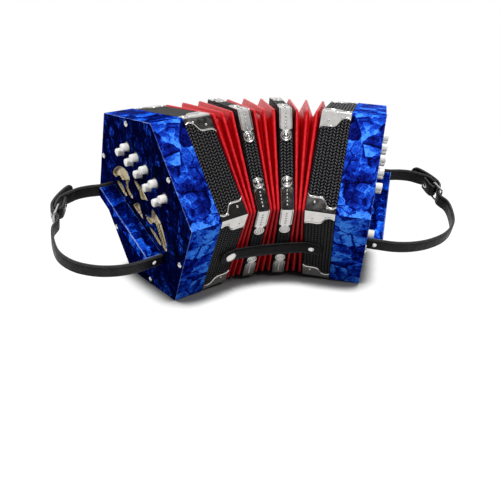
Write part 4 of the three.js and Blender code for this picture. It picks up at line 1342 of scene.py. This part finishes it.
def strap(curve, across_at, width, thickness, rounded, step):
    """A leather strip along a curve"""
    lengths = [0.0]
    for a, b in zip(curve, curve[1:]):
        lengths.append(lengths[-1] + (b - a).length)
    total = lengths[-1]

    def at(distance):
        distance = min(max(distance, 0.0), total)
        i = next(j for j in range(1, len(lengths)) if lengths[j] >= distance)
        share = (distance - lengths[i - 1]) / max(lengths[i] - lengths[i - 1], 1e-9)
        return curve[i - 1].lerp(curve[i], share)

    first, last = (strap_end(width / 2, is_round) for is_round in rounded)
    low, high = first[-1][0], total - last[-1][0]
    pieces = max(1, round((high - low) / step))
    stations = first + [(low + (high - low) * i / pieces, width / 2) for i in range(1, pieces)]
    stations += [(total - distance, half) for distance, half in reversed(last)]
    rings, flats = [], []
    for distance, half in stations:
        centre = at(distance)
        tangent = (at(distance + 0.4) - at(distance - 0.4)).normalized()
        across = across_at(distance / total)
        across = (across - across.dot(tangent) * tangent).normalized()
        normal = tangent.cross(across)
        section = strap_section(half, thickness)
        rings.append([centre + a * across + b * normal for a, b in section])
        flats += [(distance, a + (0 if b >= 0 else 3 * width)) for a, b in section]
    return loft(rings, flats=flats)


BUCKLE_ALONG_AXIS = Vector((math.cos(BUCKLE_LIE), 0, math.sin(BUCKLE_LIE)))
BUCKLE_OUT_AXIS = Vector((-math.sin(BUCKLE_LIE), 0, math.cos(BUCKLE_LIE)))


def route_point(share):
    return Vector((share[0] * REST_LENGTH / 2, -REST_DROP, share[1] * STRAP_REACH))


BAR_A = route_point(buckle_share)
BAR_B = BAR_A + (BUCKLE_LENGTH - BUCKLE_BAR) * BUCKLE_ALONG_AXIS


def near_buckle(base, along, out):
    return base + along * BUCKLE_ALONG_AXIS + out * BUCKLE_OUT_AXIS


def seated_route(shares):
    points = [route_point(share) for share in shares]
    seat = REST_LENGTH / 2 + CLEARANCE + STRAP_THICKNESS / 2
    for point in points[:2]:
        point.x = math.copysign(seat, point.x)
    return points


def make_hand_strap(end, name, points, rounded, step, node):
    shell = strap(
        smooth_path(points), lambda _: Vector((0, 1, 0)), STRAP_WIDTH, STRAP_THICKNESS, rounded, step,
    )
    end_piece(end, name, shell, [LEATHER], [node])


def make_hand_straps(end):
    bar_corner = BUCKLE_BAR / 2 * math.sqrt(2)
    half = STRAP_THICKNESS / 2
    bend = bar_corner + 2 * CLEARANCE + half
    layers = STRAP_THICKNESS + CLEARANCE
    back = -STRAP_FOLD_BACK
    points = seated_route(short_route_shares)
    points += [near_buckle(BAR_A, back, bend - layers / 2), near_buckle(BAR_A, back / 2, bend)]
    for i in range(3, -4, -1):
        angle = QUARTER * i / 3
        points.append(near_buckle(BAR_A, bend * math.cos(angle), bend * math.sin(angle)))
    points += [near_buckle(BAR_A, back / 2, -bend), near_buckle(BAR_A, back, -bend + layers / 4)]
    make_hand_strap(end, "short_strap", points, (False, False), 1.2, "buckle_strap")

    under_b = -(bar_corner + STRAP_EASE + half)
    over_a = bend + half + STRAP_EASE + half
    slant = over_a * math.sqrt(0.5)
    points = seated_route(long_route_shares)
    points.append(near_buckle(BAR_B, 0, under_b))
    points += [near_buckle(BAR_A, slant, slant), near_buckle(BAR_A, 0, over_a)]
    points += [route_point(share) for share in tip_route_shares]
    make_hand_strap(end, "long_strap", points, (False, True), 2.0, "hand_strap")

    metal = Shell()
    seat = REST_LENGTH / 2 + CLEARANCE + STRAP_THICKNESS
    for sign in (-1, 1):
        place = Vector((sign * seat, -REST_DROP, 0.1 * STRAP_REACH))
        metal.join(slotted_head(*STRAP_SCREW), frame_at(place, Vector((sign, 0, 0)), Vector((0, 0, 1))))
    inner = near_buckle(BAR_A, RIVET_SHARE * back, -bend - half)
    metal.join(dome(*INNER_RIVET), frame_at(inner, -BUCKLE_OUT_AXIS, BUCKLE_ALONG_AXIS))
    outer = near_buckle(BAR_A, RIVET_SHARE * back, bend + half - 0.3)
    metal.join(dome(*OUTER_RIVET), frame_at(outer, BUCKLE_OUT_AXIS, BUCKLE_ALONG_AXIS))
    end_piece(end, "strap_fixings", metal, [STEEL, PAINTED_SHADE_METAL])


def tube(path, radius, closed):
    """A round bar along a path of points"""
    rings = []
    count = len(path)
    for i, point in enumerate(path):
        before = path[i - 1] if closed or i else path[0]
        after = path[(i + 1) % count] if closed or i < count - 1 else path[-1]
        tangent = (after - before).normalized()
        side = Vector((0, 1, 0)) if abs(tangent.y) < 0.9 else BUCKLE_OUT_AXIS
        side = (side - side.dot(tangent) * tangent).normalized()
        other = tangent.cross(side)
        rings.append([point + p.x * side + p.y * other for p in circle(radius, facets=10)])
    return loft(rings, looped=closed)


def make_buckle(end):
    width = STRAP_WIDTH + 2 * BUCKLE_SIDE_GAP + BUCKLE_BAR
    centre = BAR_A.lerp(BAR_B, 0.5)
    loop = rounded_rectangle(BUCKLE_LENGTH - BUCKLE_BAR, width, BUCKLE_CORNER, BUCKLE_CORNER, steps=4)
    path = [centre + p.x * BUCKLE_ALONG_AXIS + Vector((0, p.y, 0)) for p in loop]
    over = STRAP_THICKNESS + STRAP_EASE + 2 * PRONG_RADIUS
    prong = smooth_path([
        near_buckle(BAR_A, 0.4, 1.6), near_buckle(BAR_A, 3.2, over + 0.9),
        near_buckle(BAR_A, 8, over * 0.75), near_buckle(BAR_B, -1.6, 1.9), near_buckle(BAR_B, 1.1, 1.25),
    ], steps=5)
    shell = tube(path, BUCKLE_BAR / 2, True).join(tube(prong, PRONG_RADIUS, False))
    end_piece(end, "buckle_frame", shell, [CHROME], ["buckle"])


def closer_point(end, distance, height):
    return PLATE[end] @ Vector((FRAME_APOTHEM + height, CLOSER_HEIGHT, CASING_LOW + distance))


def closer_metal(name, place, shell, finishes, body, replaces=()):
    """A round piece on the closing strap; its place is an end, a distance and a height"""
    axes = PLATE[place[0]].to_3x3()
    matrix = frame_at(closer_point(*place), axes @ Vector((1, 0, 0)), axes @ Vector((0, 0, 1)))
    piece(name, Shell().join(shell, matrix), Matrix.Identity(4), finishes, body, replaces)


def make_closing_strap():
    half = CLOSER_THICKNESS / 2
    height = SNAP_STUD_HEIGHT + 2 * CLEARANCE + half
    anchor_height = CLEARANCE + half
    tail = SNAP_INSET + CLOSER_TAIL
    middle = closer_point("right", 0, height).lerp(closer_point("left", 0, height), 0.5)
    middle -= CLOSER_SAG * Vector((0, ALONG.y, ALONG.z))
    insets = (tail, SNAP_INSET, CLOSER_HINGE_INSET)
    points = [closer_point("right", inset, anchor_height) for inset in insets]
    points.append(middle)
    points += [closer_point("left", inset, height) for inset in reversed(insets)]
    up_right, up_left = (LEAVES[end]["plate"].to_3x3() @ UP for end in ("right", "left"))
    shell = strap(
        smooth_path(points, steps=10), lambda share: up_right.lerp(up_left, share), CLOSER_WIDTH,
        CLOSER_THICKNESS, (True, True), 1.5,
    )
    made = piece(
        "closing_strap_leather", shell, Matrix.Identity(4), [DULL_LEATHER], None,
        ["closing_strap", "closing_strap_anchor"],
    )
    start = TO_ROW @ closer_point("right", CLOSER_HINGE_INSET + 5, anchor_height)
    end = TO_ROW @ closer_point("right", CLOSER_HINGE_INSET - 5, anchor_height)
    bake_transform(made, "right_end", "closing_strap", start=start, end=end)

    screw = slotted_head(*CLOSER_SCREW)
    place = ("right", SNAP_INSET + 0.5, anchor_height + half - 0.1)
    closer_metal("closing_strap_screw", place, screw, [STEEL, PAINTED_SHADE_METAL], "right_end")
    button = turned([
        (1.7, -3.0), (1.7, 0.02), (SNAP_CAP_RADIUS - 0.2, 0.02), (SNAP_CAP_RADIUS, 0.35),
        (SNAP_CAP_RADIUS - 0.15, 0.8), (0.86 * SNAP_CAP_RADIUS, 1.35), (0.6 * SNAP_CAP_RADIUS, 1.75),
        (0.3 * SNAP_CAP_RADIUS, 1.95), (0.02, 2.0),
    ], 36)
    place = ("left", SNAP_INSET, height + half)
    closer_metal("snap_button", place, button, [STEEL], "closing_strap", ["snap_cap"])


# Everything in its place
for end_name in SIDE:
    make_cap(end_name)
    make_bolts(end_name)
    make_buttons(end_name)
    make_grille(end_name)
    make_rest(end_name)
    make_casing(end_name)
    make_protectors(end_name)
    make_band(end_name)
    make_hand_straps(end_name)
    make_buckle(end_name)
make_bellows()
make_closing_strap()

kept_nodes = {"snap_stud": STEEL}
for end_name in SIDE:
    kept_nodes[f"{end_name}_reed_pan"] = kept_nodes[f"{end_name}_action_board"] = WOOD
for node, finish in kept_nodes.items():
    frame["nodes"][node].data.materials.clear()
    frame["nodes"][node].data.materials.append(finish)


# Floor, backdrop and lamps
FLOOR_HALF = 1.6
FLOOR_FADE = (0.45, 1.1)
FLOOR_GREY = (0.25, 0.25, 0.25, 1)
FLOOR_PALE = (0.12, 0.12, 0.12, 1)
FLOOR_GLOW = 0.95
CONTACT_REACH = 0.026
CURTAIN_STRENGTH = 0.03
FILL_STRENGTH = 0.28
LAMP_TARGET = Vector((0, 0, 0.08))


def make_floor():
    mesh = bpy.data.meshes.new("floor")
    corners = [(FLOOR_HALF * x, FLOOR_HALF * y, 0) for x, y in ((-1, -1), (1, -1), (1, 1), (-1, 1))]
    mesh.from_pydata(corners, [], [(0, 1, 2, 3)])
    floor = placed("floor", mesh)
    material = bpy.data.materials.new("pale_floor")
    material.use_nodes = True
    tree = Tree(material.node_tree)
    tree.nodes.clear()
    # For the camera the floor glows white, and the glow fades by ambient occlusion close to the object: a
    # painted contact shadow. The pale diffuse part takes the real light and shadow.
    open_sky = tree.value("AmbientOcclusion", {"Distance": CONTACT_REACH}, "AO", samples=16)
    plain = tree.node("BsdfDiffuse", {"Color": FLOOR_GREY})
    pale = tree.node("BsdfDiffuse", {"Color": FLOOR_PALE})
    glow = tree.node("Emission", {"Strength": open_sky.smooth(0.46, 0.93, 0.0, FLOOR_GLOW)})
    bright = tree.node("AddShader", {0: pale, 1: glow})
    chosen = tree.node("MixShader", {0: tree.seen(), 1: plain, 2: bright})
    away = tree.value("VectorMath", {0: tree.value("TexCoord", output="Object")}, "Value", operation="LENGTH")
    clear = tree.node("BsdfTransparent")
    shown = tree.node("MixShader", {0: away.smooth(*FLOOR_FADE), 1: chosen, 2: clear})
    tree.node("OutputMaterial", {"Surface": shown})
    mesh.materials.append(material)


def make_world():
    """White all round, with a dark curtain behind the camera for the metal to show, and an even fill"""
    world = bpy.data.worlds.new("studio")
    bpy.context.scene.world = world
    world.use_nodes = True
    tree = Tree(world.node_tree)
    tree.nodes.clear()
    _, y, z = tree.split(tree.value("TexCoord", output="Generated"))
    curtain = z.smooth(0.24, 0.36) * z.smooth(0.70, 0.745, 1.0, 0.0) * y.smooth(-0.25, 0.1, 1.0, 0.0)
    backdrop, dark, fill = (
        tree.node("Background", {"Color": (1, 1, 1, 1), "Strength": strength})
        for strength in (1.0, CURTAIN_STRENGTH, FILL_STRENGTH)
    )
    around = tree.node("MixShader", {0: curtain, 1: backdrop, 2: dark})
    chosen = tree.node("MixShader", {0: tree.seen(), 1: fill, 2: around})
    tree.node("OutputWorld", {"Surface": chosen})


def make_lamp(name, place, size, power, mirrored=True):
    data = bpy.data.lights.new(name, "AREA")
    data.shape = "DISK"
    data.size = size
    data.energy = power
    lamp = placed(name, data)
    lamp.location = place
    lamp.visible_glossy = mirrored
    lamp.rotation_euler = (LAMP_TARGET - Vector(place)).to_track_quat("-Z", "Y").to_euler()


make_floor()
make_world()
make_lamp("top_lamp", (0.40, -0.15, 2.40), 0.7, 18)
make_lamp("front_lamp", (0.30, -1.02, 1.20), 0.4, 16.5, mirrored=False)
make_lamp("left_lamp", (-1.30, -0.20, 0.95), 0.4, 13, mirrored=False)

bpy.context.scene.view_settings.view_transform = "Standard"
